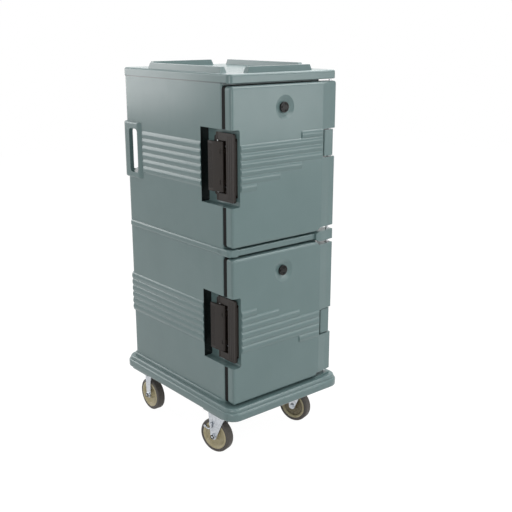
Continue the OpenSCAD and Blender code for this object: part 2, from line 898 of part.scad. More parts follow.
module latch_base(i) {
    z = mid_z(i);
    h = latch_h - 2 * base_end;
    y0 = panel_y + base_front_in;
    y1 = latch_back_y - base_back_in;
    color(nylon_c) difference() {
        union() {
            translate([latch_floor_x - base_plate_t, (y0 + y1) / 2, z]) rotate([0, 90, 0])
                linear_extrude(base_plate_t) round_rect(h, y1 - y0, loop_r);
            for (s = [-1, 1]) latch_lug(z + s * lug_off);
        }
        for (s = [-1, 1]) base_screw_at(i, s) cylinder(r = screw_shank_r + fit, h = screw_l);
    }
}

// Place of a screw in the latch base, its axis pointing out of the recess
module base_screw_at(i, s) {
    translate([latch_floor_x, panel_y + base_front_in + base_screw_in, mid_z(i) + s * base_screw_low])
        rotate([0, -90, 0]) children();
}

// Pan-head screw, its head at a height over the wall and its shank in the wall
module pan_screw(head_from) {
    translate([0, 0, head_from]) cylinder(r1 = screw_r, r2 = screw_r - screw_t / 2, h = screw_t);
    translate([0, 0, head_from - screw_l]) cylinder(r = screw_shank_r, h = screw_l);
}

// Blind hole of a pan-head screw in the wall
module screw_hole(head_from) {
    translate([0, 0, head_from - screw_l - hole_end]) cylinder(r = screw_shank_r + rod_fit, h = screw_l);
}

module latch_base_screws() {
    color(steel_c) for (i = [0, 1], s = [-1, 1]) base_screw_at(i, s) pan_screw(base_plate_t);
}

module latch_pin(i) {
    l = 2 * lug_off + 2 * lug_h;
    color(steel_c) translate([pin_x, pin_y, mid_z(i) - l / 2]) cylinder(r = pin_r, h = l);
}

// Section of the lever: barrels on its own pin and on the loop's pin, and the finger plate
module lever_plan() {
    tip_y = pin_y + lever_back_l - lever_t / 2;
    bend_y = loop_pin_y + lever_r;
    in_x = lever_face_x + lever_t;
    polygon([
        [pin_x + lever_r, pin_y],
        [loop_pin_x + lever_r, loop_pin_y],
        [in_x, bend_y + lever_t],
        [in_x, tip_y],
        [lever_face_x, tip_y],
        [lever_face_x, bend_y],
        [pin_x - lever_r, pin_y]
    ]);
    translate([pin_x, pin_y]) circle(lever_r);
    translate([loop_pin_x, loop_pin_y]) circle(lever_r);
    translate([lever_face_x + lever_t / 2, tip_y]) circle(lever_t / 2);
}

module latch_lever(i) {
    z0 = mid_z(i) - lever_h / 2;
    gap_h = lug_h + 2 * lug_gap;
    color(nylon_c) difference() {
        translate([0, 0, z0]) linear_extrude(lever_h) lever_plan();
        translate([pin_x, pin_y, z0 - over]) cylinder(r = pin_r + pin_gap, h = lever_h + 2 * over);
        translate([loop_pin_x, loop_pin_y, z0 - over]) cylinder(r = pin_r + rod_fit, h = lever_h + 2 * over);
        for (s = [-1, 1]) translate([pin_x, pin_y, mid_z(i) + s * lug_off - gap_h / 2])
            cylinder(r = lug_clear, h = gap_h);
    }
}

module loop_pin(i) {
    l = loop_h - skin_t;
    color(steel_c) translate([loop_pin_x, loop_pin_y, mid_z(i) - l / 2]) cylinder(r = pin_r, h = l);
}

// Draw loop: a bar across the joint, an arm above and below the lever, and a hook behind the bar
module latch_loop(i) {
    z = mid_z(i);
    x0 = loop_pin_x - loop_t / 2;
    x1 = x0 + loop_t;
    bar_y = loop_front_y + loop_bar_w / 2;
    arm_low = loop_h / 2 - loop_arm_h;
    hook_x = latch_floor_x - keeper_t - hook_gap;
    color(nylon_c) difference() {
        union() {
            translate([x0, bar_y, z]) rotate([0, 90, 0]) linear_extrude(loop_t)
                round_rect(loop_h, loop_bar_w, loop_r);
            for (z0 = [z - loop_h / 2, z + arm_low]) {
                span(x0, x1, bar_y, loop_pin_y, z0, z0 + loop_arm_h);
                translate([loop_pin_x, loop_pin_y, z0]) cylinder(r = loop_eye_r, h = loop_arm_h);
            }
            span(x1 - hook_root, hook_x, loop_front_y, loop_front_y + hook_t, z - arm_low, z + arm_low);
        }
        translate([loop_pin_x, loop_pin_y, z - loop_h]) cylinder(r = pin_r + pin_gap, h = 2 * loop_h);
    }
}

// Keeper on the door, with the lip that the loop's hook draws on
module latch_keeper(i) {
    z = mid_z(i);
    y0 = face_y + keeper_front;
    y1 = panel_y - seal_gap - keeper_back;
    h = loop_h - 2 * keeper_end;
    lip_y = loop_front_y + hook_t + hook_gap;
    color(nylon_c) difference() {
        union() {
            span(latch_floor_x - keeper_t, latch_floor_x, y0, y1, z - h / 2, z + h / 2);
            span(latch_floor_x - keeper_t - keeper_lip_t, latch_floor_x, lip_y, lip_y + keeper_lip_w,
                z - h / 2 + keeper_end, z + h / 2 - keeper_end);
        }
        for (s = [-1, 1]) keeper_screw_at(i, s) cylinder(r = screw_shank_r + fit, h = screw_l);
    }
}

module keeper_screw_at(i, s) {
    lip_y = loop_front_y + hook_t + hook_gap + keeper_lip_w;
    translate([latch_floor_x, lip_y + screw_r + 2 * fit, mid_z(i) + s * screw_low])
        rotate([0, -90, 0]) children();
}

module keeper_screws(i) {
    color(steel_c) for (s = [-1, 1]) keeper_screw_at(i, s) pan_screw(keeper_t);
}

// Bolts of the four casters, screwed up through their plates into the pads
module caster_bolts() {
    color(steel_c) for (x = [-1, 1], y = [-front_y, rear_y], dx = [-1, 1], dy = [-1, 1])
        translate([x * caster_x + dx * bolt_dx / 2, y + dy * bolt_dy / 2, plate_z]) {
            translate([0, 0, -bolt_head_t]) cylinder(r = bolt_head_r, h = bolt_head_t, $fn = 6);
            cylinder(r = bolt_r, h = plate_t + bolt_l);
        }
}

// Holes of a caster's bolts, through its plate and blind in the pad
module bolt_holes(r) {
    for (dx = [-1, 1], dy = [-1, 1]) translate([dx * bolt_dx / 2, dy * bolt_dy / 2, -over])
        cylinder(r = r, h = over + plate_t + bolt_l + hole_end);
}

// Top plate of a caster
module top_plate() {
    linear_extrude(plate_t) round_rect(plate_w, plate_d, plate_r);
}

// Place of a front caster's king pin, on the floor
module king_at(s) {
    translate([s * caster_x, -front_y, 0]) children();
}

// The same, turned with the fork
module fork_at(s) {
    king_at(s) rotate([0, 0, swivel_turn]) translate([0, trail, 0]) children();
}

// Top plate of a swivel caster with the upper half of its race
module caster_plate(s) {
    color(steel_c) king_at(s) translate([0, 0, plate_z]) difference() {
        union() {
            top_plate();
            translate([0, 0, -race_t]) rotate_extrude() edge_side(race_r, race_t + plate_t / 2, 0, race_edge);
        }
        bolt_holes(bolt_r + fit);
        translate([0, 0, -over]) cylinder(r = king_r + rod_fit, h = plate_t + 2 * over);
    }
}

// King pin, riveted in the plate and carrying the fork on its head
module king_pin(s) {
    head_z = crown_z - swivel_gap - king_head_t;
    color(steel_c) king_at(s) translate([0, 0, head_z]) {
        cylinder(r = king_head_r, h = king_head_t);
        cylinder(r = king_r, h = plate_z + plate_t - head_z - fit);
    }
}

// Two legs of a fork, from the axle up to a top edge between two distances from it
module fork_legs(z1, y0, y1) {
    for (s = [-1, 1]) translate([s * (leg_out - leg_t / 2), 0, wheel_r]) rotate([90, 0, 90])
        linear_extrude(leg_t, center = true) {
            circle(leg_low_r);
            polygon([[-leg_low_r, 0], [leg_low_r, 0], [y1, z1 - wheel_r], [y0, z1 - wheel_r]]);
        }
}

// Flanges turned inwards along the front edges of the legs, clear of the tyre and narrower downwards
module leg_flanges(z1) {
    lean = atan((leg_front - leg_low_r) / (z1 - wheel_r));
    low = flange_low / cos(lean);
    top = (z1 - wheel_r) / cos(lean) - crown_t;
    for (s = [0, 1]) mirror([s, 0, 0]) translate([leg_out, -leg_low_r, wheel_r])
        rotate([90 + lean, 0, 0]) translate([0, 0, -flange_t]) linear_extrude(flange_t) polygon([
            [-leg_t / 2, low],
            [-flange_low_w, low],
            [-flange_w, top],
            [-leg_t / 2, top]
        ]);
}

module axle_hole() {
    translate([-leg_out - over, 0, wheel_r]) rotate([0, 90, 0])
        cylinder(r = axle_r + rod_fit, h = 2 * (leg_out + over));
}

// Fork of a swivel caster, its wheel trailing behind the king pin
module swivel_fork(s) {
    top = crown_z + crown_t;
    color(steel_c) fork_at(s) difference() {
        union() {
            fork_legs(top, -leg_front, leg_rear);
            leg_flanges(top);
            span(-leg_out, leg_out, -leg_front, leg_rear, crown_z, top);
            translate([0, -trail, crown_z]) cylinder(r = crown_r, h = crown_t);
        }
        axle_hole();
        translate([0, -trail, crown_z - over]) cylinder(r = king_r + run_gap, h = crown_t + 2 * over);
        translate([s * leg_out, brake_y, wheel_r + brake_z]) rotate([0, 90, 0])
            cylinder(r = brake_pin_r + run_gap, h = 2 * over, center = true);
    }
}

// Brake lever on the outer leg: a stub in the leg, a bent bar and a foot at its end
module caster_brake(s) {
    x0 = leg_out + brake_off;
    side = s < 0 ? 1 : 0;
    color(steel_c) fork_at(s) mirror([side, 0, 0])
        translate([0, brake_y, wheel_r + brake_z]) rotate([0, 90, 0]) {
        translate([0, 0, leg_out - leg_t]) cylinder(r = brake_pin_r, h = leg_t + brake_off + brake_boss_t / 2);
        translate([0, 0, x0]) cylinder(r = brake_boss_r, h = brake_boss_t);
        translate([0, 0, x0 + brake_boss_t / 2]) rotate([0, 0, -brake_tilt]) translate([0, brake_bend_r, 0]) {
            rotate([0, 0, -90]) rotate_extrude(angle = 180) translate([brake_bend_r, 0]) circle(brake_bar_r);
            translate([0, brake_bend_r, -brake_foot_l / 2]) cylinder(r = brake_foot_r, h = brake_foot_l);
        }
    }
}

// Fork of a rigid caster, one pressing with its plate
module rigid_fork(s) {
    color(steel_c) translate([s * caster_x, rear_y, 0]) difference() {
        union() {
            fork_legs(plate_z + plate_t / 2, -rigid_top_w / 2, rigid_top_w / 2);
            translate([0, 0, plate_z]) top_plate();
        }
        axle_hole();
        translate([0, 0, plate_z]) bolt_holes(bolt_r + fit);
    }
}

// Axle bolt with its hexagon head outside and its nut inside, along X
module axle() {
    reach = leg_out + rod_fit;
    rotate([0, 90, 0]) {
        translate([0, 0, -reach - axle_head_t])
            cylinder(r = axle_r, h = 2 * (reach + axle_head_t) - axle_head_t / 2);
        for (z = [-reach - axle_head_t, reach]) translate([0, 0, z])
            cylinder(r = axle_head_r, h = axle_head_t, $fn = 6);
    }
}

// Bush that the wheel turns on, clamped between the legs
module bush() {
    l = 2 * (leg_out - leg_t) - fit;
    rotate([0, 90, 0]) difference() {
        cylinder(r = axle_r + bush_wall, h = l, center = true);
        cylinder(r = axle_r + rod_fit, h = l + over, center = true);
    }
}

// Wheel centre of moulded polyolefin, dished on both sides
module wheel_centre() {
    bore = axle_r + bush_wall + run_gap;
    hub_w = wheel_w + leg_gap;
    rim_w = wheel_w - 2 * rod_fit;
    rotate([0, 90, 0]) rotate_extrude() {
        translate([bore, -hub_w / 2]) square([hub_r - bore, hub_w]);
        translate([hub_r - web_in, -web_t / 2]) square([rim_r - hub_r, web_t]);
        translate([rim_r - rim_t, -rim_w / 2]) square([rim_t, rim_w]);
    }
}

module tyre() {
    rotate([0, 90, 0]) rotate_extrude() difference() {
        translate([0, -wheel_w / 2]) edge_side(wheel_r, wheel_w, tyre_edge, tyre_edge);
        translate([0, -wheel_w]) square([rim_r + rod_fit, 2 * wheel_w]);
    }
}

// What turns round an axle, at a front caster and at a rear one
module front_axle_at(s) {
    fork_at(s) translate([0, 0, wheel_r]) mirror([s < 0 ? 1 : 0, 0, 0]) children();
}

module rear_axle_at(s) {
    translate([s * caster_x, rear_y, wheel_r]) mirror([s < 0 ? 1 : 0, 0, 0]) children();
}

cabinet_shell();
cabinet_foam();
hinge_rod(1);  // upper_hinge_rod
hinge_rod(0);  // lower_hinge_rod
latch_base_screws();
door_shell(1);  // upper_door_shell
door_foam(1);  // upper_door_foam
door_gasket(1);  // upper_door_gasket
door_bushes(1);  // upper_door_bushes
vent_cap(1);  // upper_vent_cap
door_shell(0);  // lower_door_shell
door_foam(0);  // lower_door_foam
door_gasket(0);  // lower_door_gasket
door_bushes(0);  // lower_door_bushes
vent_cap(0);  // lower_vent_cap
latch_base(1);  // upper_latch_base
latch_pin(1);  // upper_latch_pin
latch_lever(1);  // upper_latch_lever
loop_pin(1);  // upper_loop_pin
latch_loop(1);  // upper_latch_loop
latch_base(0);  // lower_latch_base
latch_pin(0);  // lower_latch_pin
latch_lever(0);  // lower_latch_lever
loop_pin(0);  // lower_loop_pin
latch_loop(0);  // lower_latch_loop
latch_keeper(1);  // upper_latch_keeper
keeper_screws(1);  // upper_keeper_screws
latch_keeper(0);  // lower_latch_keeper
keeper_screws(0);  // lower_keeper_screws
caster_bolts();
caster_plate(-1);  // front_left_caster_plate
king_pin(-1);  // front_left_king_pin
swivel_fork(-1);  // front_left_fork
caster_brake(-1);  // front_left_brake
color(steel_c) front_axle_at(-1) axle();  // front_left_axle
color(steel_c) front_axle_at(-1) bush();  // front_left_bush
color(hub_c) front_axle_at(-1) wheel_centre();  // front_left_wheel
color(rubber_c) front_axle_at(-1) tyre();  // front_left_tyre
caster_plate(1);  // front_right_caster_plate
king_pin(1);  // front_right_king_pin
swivel_fork(1);  // front_right_fork
caster_brake(1);  // front_right_brake
color(steel_c) front_axle_at(1) axle();  // front_right_axle
color(steel_c) front_axle_at(1) bush();  // front_right_bush
color(hub_c) front_axle_at(1) wheel_centre();  // front_right_wheel
color(rubber_c) front_axle_at(1) tyre();  // front_right_tyre
rigid_fork(-1);  // rear_left_fork
color(steel_c) rear_axle_at(-1) axle();  // rear_left_axle
color(steel_c) rear_axle_at(-1) bush();  // rear_left_bush
color(hub_c) rear_axle_at(-1) wheel_centre();  // rear_left_wheel
color(rubber_c) rear_axle_at(-1) tyre();  // rear_left_tyre
rigid_fork(1);  // rear_right_fork
color(steel_c) rear_axle_at(1) axle();  // rear_right_axle
color(steel_c) rear_axle_at(1) bush();  // rear_right_bush
color(hub_c) rear_axle_at(1) wheel_centre();  // rear_right_wheel
color(rubber_c) rear_axle_at(1) tyre();  // rear_right_tyre
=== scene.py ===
import bpy, bmesh, json, math
from mathutils import Matrix, Vector


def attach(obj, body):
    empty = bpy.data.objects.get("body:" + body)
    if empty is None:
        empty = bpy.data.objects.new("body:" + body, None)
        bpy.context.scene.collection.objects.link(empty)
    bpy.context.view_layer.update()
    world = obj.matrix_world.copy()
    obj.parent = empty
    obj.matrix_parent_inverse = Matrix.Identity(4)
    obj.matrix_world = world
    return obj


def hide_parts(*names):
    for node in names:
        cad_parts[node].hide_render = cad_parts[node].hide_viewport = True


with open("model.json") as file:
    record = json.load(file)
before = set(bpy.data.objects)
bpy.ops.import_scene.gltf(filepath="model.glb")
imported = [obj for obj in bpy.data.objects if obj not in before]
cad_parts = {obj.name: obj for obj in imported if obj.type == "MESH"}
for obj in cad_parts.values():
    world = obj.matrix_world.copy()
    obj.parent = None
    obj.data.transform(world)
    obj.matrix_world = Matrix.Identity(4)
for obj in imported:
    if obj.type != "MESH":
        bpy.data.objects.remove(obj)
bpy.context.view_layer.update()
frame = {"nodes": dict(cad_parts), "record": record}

# Insulated food pan carrier, metres, doors towards -Y, origin on the floor
nodes = frame["nodes"]
mm = 0.001
doorMiddle = {"lower": 492.5, "upper": 1045.5}  # heights in mm
doorHalf = {"width": 230.5, "height": 258.5}  # half of a door's width and height in mm

# Camera at the photograph's own viewing angle
cameraSettings = {"place": (-1.7837, -2.3077, 1.4758), "yaw": 39.74, "pitch": 15.70, "roll": -0.05,
                  "lens": 56.98, "sensor": 36}


def addCamera(s):
    yaw, pitch = math.radians(s["yaw"]), math.radians(s["pitch"])
    ahead = Vector((math.sin(yaw) * math.cos(pitch), math.cos(yaw) * math.cos(pitch), -math.sin(pitch)))
    right = Vector((math.cos(yaw), -math.sin(yaw), 0))
    up = right.cross(ahead)
    turn = Matrix((right, up, -ahead)).transposed() @ Matrix.Rotation(math.radians(s["roll"]), 3, "Z")
    data = bpy.data.cameras.new("camera")
    data.lens = s["lens"]
    data.sensor_width = s["sensor"]
    camera = bpy.data.objects.new("camera", data)
    camera.location = s["place"]
    camera.rotation_euler = turn.to_euler()
    bpy.context.scene.collection.objects.link(camera)
    bpy.context.scene.camera = camera


addCamera(cameraSettings)
print("stage: camera")


# Materials

def hexColour(code):
    # sRGB hex to the linear values that the sockets take
    shares = [int(code[i:i + 2], 16) / 255 for i in (0, 2, 4)]
    return [c / 12.92 if c <= 0.04045 else ((c + 0.055) / 1.055) ** 2.4 for c in shares] + [1]


def addNode(tree, kind, settings=None, links=None):
    # settings and links are by socket name or number, or by the node's own setting
    node = tree.nodes.new(kind)
    for key, value in (settings or {}).items():
        if isinstance(key, str) and hasattr(node, key):
            setattr(node, key, value)
        else:
            node.inputs[key].default_value = value
    for key, source in (links or {}).items():
        tree.links.new(source, node.inputs[key])
    return node


def newMaterial(name):
    material = bpy.data.materials.new(name)
    material.use_nodes = True
    tree = material.node_tree
    tree.nodes.clear()
    shader = addNode(tree, "ShaderNodeBsdfPrincipled")
    addNode(tree, "ShaderNodeOutputMaterial", links={"Surface": shader.outputs[0]})
    place = addNode(tree, "ShaderNodeTexCoord").outputs["Object"]
    return material, tree, shader, place


def lumpsOf(sizeMm, detail=2.0, rough=0.5):
    # noise settings for lumps that are sizeMm across
    return {"Scale": 1 / (sizeMm * mm), "Detail": detail, "Roughness": rough}


def drift(tree, place, lumps, low=0.0, high=1.0, fromLow=0.3, fromHigh=0.7):
    # wanders between low and high over lumps of noise
    noise = addNode(tree, "ShaderNodeTexNoise", lumps, {"Vector": place}).outputs["Fac"]
    settings = {"From Min": fromLow, "From Max": fromHigh, "To Min": low, "To Max": high}
    return addNode(tree, "ShaderNodeMapRange", settings, {"Value": noise}).outputs["Result"]


def paint(tree, shader, ground, layers):
    # hex colours laid over the ground colour in turn, each by its own share
    settings, links = {"data_type": "RGBA", 6: hexColour(ground)}, {}
    for share, code in layers:
        settings[7], links[0] = hexColour(code), share
        links[6] = addNode(tree, "ShaderNodeMix", settings, links).outputs[2]
    tree.links.new(links[6], shader.inputs["Base Color"])


def grain(tree, shader, place, lumps, depthMm, strength):
    # low relief over lumps of noise
    height = addNode(tree, "ShaderNodeTexNoise", lumps, {"Vector": place}).outputs["Fac"]
    settings = {"Strength": strength, "Distance": depthMm * mm}
    bump = addNode(tree, "ShaderNodeBump", settings, {"Height": height}).outputs[0]
    tree.links.new(bump, shader.inputs["Normal"])
    return bump


def insideBox(tree, place, ranges):
    # 1 between the lows and highs (m) of the axes that are given, and 0 elsewhere
    axes = addNode(tree, "ShaderNodeSeparateXYZ", links={0: place}).outputs
    shares = []
    for axis, (low, high) in ranges.items():
        settings = {"operation": "COMPARE", 1: (low + high) / 2, 2: (high - low) / 2}
        shares.append(addNode(tree, "ShaderNodeMath", settings, {0: axes[axis]}).outputs[0])
    inside = shares[0]
    for share in shares[1:]:
        inside = addNode(tree, "ShaderNodeMath", {"operation": "MULTIPLY"}, {0: inside, 1: share}).outputs[0]
    return inside


# Rotationally moulded polyethylene: through-coloured, waxy half gloss, a faint orange peel from the mould.
# The real peel is about 3 mm across, too fine to show, so it is drawn coarser. The rear wall of each latch
# recess is painted in deep shade, painted shade darkens the groove under the slab, and the doors' hinge side
# falls back
shellLook = {"colour": "617777", "pale": "657b7b", "scuff": "708684", "shade": "101414", "ior": 1.51,
             "cloudMm": 160, "rubMm": 60, "rubStretch": (1, 1, 0.3), "rubShare": 0.1,
             "roughness": (0.2, 0.24), "glossMm": 45, "peelMm": 8, "peelDepthMm": 0.03, "peelStrength": 0.25,
             "recess": {"X": (-0.2302, -0.1972), "Y": (-0.158, -0.156)}, "recessHalf": 0.124,
             "groove": {"Y": (-0.297, 1), "Z": (1.3104, 1.3146)}, "grooveShadeShare": 0.6,
             "doorFace": {"Y": (-1, -0.316)}, "fallX": (0.1685, 0.2305), "fallMm": 4.3}


def mouldedPolyethylene(s):
    material, tree, shader, place = newMaterial("mouldedPolyethylene")
    # faint rubbed streaks, longer upright
    upright = addNode(tree, "ShaderNodeMapping", {"Scale": s["rubStretch"]}, {"Vector": place}).outputs[0]
    layers = [(drift(tree, place, lumpsOf(s["cloudMm"], 3)), s["pale"]),
              (drift(tree, upright, lumpsOf(s["rubMm"]), 0, s["rubShare"], 0.5, 0.8), s["scuff"])]
    # painted shade on the rear wall of each latch recess, at each door's height
    for middle in doorMiddle.values():
        heights = (middle * mm - s["recessHalf"], middle * mm + s["recessHalf"])
        layers.append((insideBox(tree, place, {**s["recess"], "Z": heights}), s["shade"]))
    # painted shade in the groove under the slab, a share of the shade colour
    groove = insideBox(tree, place, s["groove"])
    settings = {"operation": "MULTIPLY", 1: s["grooveShadeShare"]}
    layers.append((addNode(tree, "ShaderNodeMath", settings, {0: groove}).outputs[0], s["shade"]))
    paint(tree, shader, s["colour"], layers)
    gloss = drift(tree, place, lumpsOf(s["glossMm"]), *s["roughness"])
    tree.links.new(gloss, shader.inputs["Roughness"])
    peel = grain(tree, shader, place, lumpsOf(s["peelMm"], 1), s["peelDepthMm"], s["peelStrength"])
    # height that falls towards the hinge, on the doors' faces alone
    across = addNode(tree, "ShaderNodeSeparateXYZ", links={0: place}).outputs["X"]
    settings = {"From Min": s["fallX"][0], "From Max": s["fallX"][1], "To Min": 1, "To Max": 0}
    fall = addNode(tree, "ShaderNodeMapRange", settings, {"Value": across}).outputs["Result"]
    face = insideBox(tree, place, s["doorFace"])
    height = addNode(tree, "ShaderNodeMath", {"operation": "MULTIPLY"}, {0: fall, 1: face}).outputs[0]
    settings = {"Strength": 1, "Distance": s["fallMm"] * mm}
    bump = addNode(tree, "ShaderNodeBump", settings, {"Height": height, "Normal": peel}).outputs[0]
    tree.links.new(bump, shader.inputs["Normal"])
    shader.inputs["IOR"].default_value = s["ior"]
    return material


# Glass-filled nylon, injection moulded: dark brown, satin, with a fine sparked grain
nylonLook = {"colour": "1c1612", "pale": "211a15", "mottleMm": 14, "roughness": (0.42, 0.5), "glossMm": 5,
             "grainMm": 0.9, "grainDepthMm": 0.02, "grainStrength": 0.5, "ior": 1.53, "specular": 0.3}
ventLook = dict(nylonLook, colour="0c0b0b", pale="141312", roughness=(0.34, 0.44), grainMm=0.8)


def grainedNylon(s, name="grainedNylon"):
    material, tree, shader, place = newMaterial(name)
    paint(tree, shader, s["colour"], [(drift(tree, place, lumpsOf(s["mottleMm"])), s["pale"])])
    gloss = drift(tree, place, lumpsOf(s["glossMm"]), *s["roughness"])
    tree.links.new(gloss, shader.inputs["Roughness"])
    grain(tree, shader, place, lumpsOf(s["grainMm"]), s["grainDepthMm"], s["grainStrength"])
    shader.inputs["IOR"].default_value = s["ior"]
    shader.inputs["Specular IOR Level"].default_value = s["specular"]
    return material


# Extruded EPDM seal: grey-black, matt, wiped slightly pale in patches
sealLook = {"colour": "070808", "pale": "0c0d0d", "mottleMm": 22, "roughness": 0.8, "specular": 0.2,
            "grainMm": 1.2, "grainDepthMm": 0.04, "grainStrength": 0.6}


def extrudedRubber(s):
    material, tree, shader, place = newMaterial("extrudedRubber")
    paint(tree, shader, s["colour"], [(drift(tree, place, lumpsOf(s["mottleMm"])), s["pale"])])
    shader.inputs["Roughness"].default_value = s["roughness"]
    shader.inputs["Specular IOR Level"].default_value = s["specular"]
    grain(tree, shader, place, lumpsOf(s["grainMm"]), s["grainDepthMm"], s["grainStrength"])
    return material


# Drawn stainless steel, with fine lines along the rod
steelLook = {"colour": "c4c6c8", "roughness": (0.22, 0.34), "lineMm": 0.6, "lineStretch": (1, 1, 0.04),
             "lineDepthMm": 0.01, "lineStrength": 0.5}


def drawnSteel(s):
    material, tree, shader, place = newMaterial("drawnSteel")
    shader.inputs["Base Color"].default_value = hexColour(s["colour"])
    shader.inputs["Metallic"].default_value = 1
    drawn = addNode(tree, "ShaderNodeMapping", {"Scale": s["lineStretch"]}, {"Vector": place}).outputs[0]
    lines = lumpsOf(s["lineMm"], 2, 0.6)
    tree.links.new(drift(tree, drawn, lines, *s["roughness"]), shader.inputs["Roughness"])
    grain(tree, shader, drawn, lines, s["lineDepthMm"], s["lineStrength"])
    return material


# Zinc plate on pressed steel: bright, bluish, with the spangle and dull blotches of barrel plating
zincLook = {"colour": "cdd1d6", "dull": "a9adb2", "roughness": (0.2, 0.42), "blotchMm": 7,
            "grainMm": 1.5, "grainDepthMm": 0.02, "grainStrength": 0.5}


def platedZinc(s):
    material, tree, shader, place = newMaterial("platedZinc")
    blotches = lumpsOf(s["blotchMm"], 4, 0.6)
    paint(tree, shader, s["colour"], [(drift(tree, place, blotches), s["dull"])])
    shader.inputs["Metallic"].default_value = 1
    tree.links.new(drift(tree, place, blotches, *s["roughness"]), shader.inputs["Roughness"])
    grain(tree, shader, place, lumpsOf(s["grainMm"]), s["grainDepthMm"], s["grainStrength"])
    return material


# Moulded polyolefin wheel centre: beige, waxy, with painted shade in the hollow of the dish, heavier at some
# casters
hubLook = {"colour": "b0a581", "pale": "c2b896", "mottleMm": 18, "paintedShade": "574c38", "shadePatchMm": 12,
           "dishRadius": 43, "rimRadius": 46, "roughness": (0.36, 0.5), "glossMm": 9,
           "grainMm": 1.6, "grainDepthMm": 0.03, "grainStrength": 0.5,
           "dishShadeShare": {"front_left": 0.35, "front_right": 1.0, "rear_left": 0.2, "rear_right": 0.6}}


def mouldedPolyolefin(s, middle=(0, 0, 0), share=0.5, name="mouldedPolyolefin"):
    # the painted shade is by the distance (mm) from the wheel's own middle
    material, tree, shader, place = newMaterial(name)
    settings = {"operation": "DISTANCE", 1: [c * mm for c in middle]}
    reach = addNode(tree, "ShaderNodeVectorMath", settings, {0: place}).outputs["Value"]
    settings = {"From Min": s["dishRadius"] * mm, "From Max": s["rimRadius"] * mm,
                "To Min": share, "To Max": 0}
    dish = addNode(tree, "ShaderNodeMapRange", settings, {"Value": reach}).outputs["Result"]
    patches = drift(tree, place, lumpsOf(s["shadePatchMm"], 4, 0.7), 0.5, 1)
    shadedDish = addNode(tree, "ShaderNodeMath", {"operation": "MULTIPLY"}, {0: dish, 1: patches}).outputs[0]
    clouds = drift(tree, place, lumpsOf(s["mottleMm"], 3))
    paint(tree, shader, s["colour"], [(clouds, s["pale"]), (shadedDish, s["paintedShade"])])
    gloss = drift(tree, place, lumpsOf(s["glossMm"]), *s["roughness"])
    tree.links.new(gloss, shader.inputs["Roughness"])
    grain(tree, shader, place, lumpsOf(s["grainMm"]), s["grainDepthMm"], s["grainStrength"])
    return material


# Thermoplastic rubber tread: dark grey-brown, matt, dusty where it rolls
treadLook = {"colour": "46423e", "dust": "57524d", "dustMm": 6, "roughness": 0.62,
             "grainMm": 1.4, "grainDepthMm": 0.08, "grainStrength": 0.7}


def rolledTread(s):
    material, tree, shader, place = newMaterial("rolledTread")
    paint(tree, shader, s["colour"], [(drift(tree, place, lumpsOf(s["dustMm"], 4, 0.65)), s["dust"])])
    shader.inputs["Roughness"].default_value = s["roughness"]
    grain(tree, shader, place, lumpsOf(s["grainMm"], 3), s["grainDepthMm"], s["grainStrength"])
    return material


# Rigid polyurethane foam in the walls, closed cells, cream
foamLook = {"colour": "d9c88e", "pale": "e6d8a6", "cellMm": 3, "roughness": 0.9,
            "grainMm": 1.2, "grainDepthMm": 0.3, "grainStrength": 0.6}


def rigidFoam(s):
    material, tree, shader, place = newMaterial("rigidFoam")
    paint(tree, shader, s["colour"], [(drift(tree, place, lumpsOf(s["cellMm"])), s["pale"])])
    shader.inputs["Roughness"].default_value = s["roughness"]
    grain(tree, shader, place, lumpsOf(s["grainMm"], 1), s["grainDepthMm"], s["grainStrength"])
    return material


finishes = {
    "shell": mouldedPolyethylene(shellLook),
    "foam": rigidFoam(foamLook),
    "nylon": grainedNylon(nylonLook),
    "vent": grainedNylon(ventLook, "blackNylon"),
    "gasket": extrudedRubber(sealLook),
    "steel": drawnSteel(steelLook),
    "zinc": platedZinc(zincLook),
    "wheel": mouldedPolyolefin(hubLook),
    "tyre": rolledTread(treadLook),
}
for part in frame["record"]["subparts"]:
    node = nodes[part["node"]]
    node.data.materials.clear()
    node.data.materials.append(finishes[part["material_slot"]])
print("stage: materials")


# Modelling steps that the pieces share; sizes are in mm and places in the carrier's own frame
softEdge = {"segments": 2, "fromAngle": 35, "smoothAngle": 34}
past = 3  # how far a cutting block reaches past a face; cutting rods just pass right through


def clearSelection():
    if bpy.context.mode != "OBJECT":
        bpy.ops.object.mode_set(mode="OBJECT")
    bpy.ops.object.select_all(action="DESELECT")


def makeActive(piece):
    clearSelection()
    piece.select_set(True)
    bpy.context.view_layer.objects.active = piece


def fixPlace(piece):
    # the place goes into the mesh, and the object stays at the origin
    makeActive(piece)
    bpy.ops.object.transform_apply(location=True, rotation=True, scale=True)
    return piece


def addBlock(name, low, high):
    clearSelection()
    middle = [(a + b) / 2 * mm for a, b in zip(low, high)]
    sizes = [(b - a) * mm for a, b in zip(low, high)]
    bpy.ops.mesh.primitive_cube_add(size=1, location=middle, scale=sizes)
    bpy.context.object.name = name
    return fixPlace(bpy.context.object)


def addRod(name, place, axis, radius, length, sides=48):
    # round bar centred at place, along "X", "Y" or "Z"
    clearSelection()
    turn = {"X": (0, math.pi / 2, 0), "Y": (math.pi / 2, 0, 0), "Z": (0, 0, 0)}[axis]
    bpy.ops.mesh.primitive_cylinder_add(vertices=sides, radius=radius * mm, depth=length * mm,
                                        location=[c * mm for c in place], rotation=turn)
    bpy.context.object.name = name
    return fixPlace(bpy.context.object)


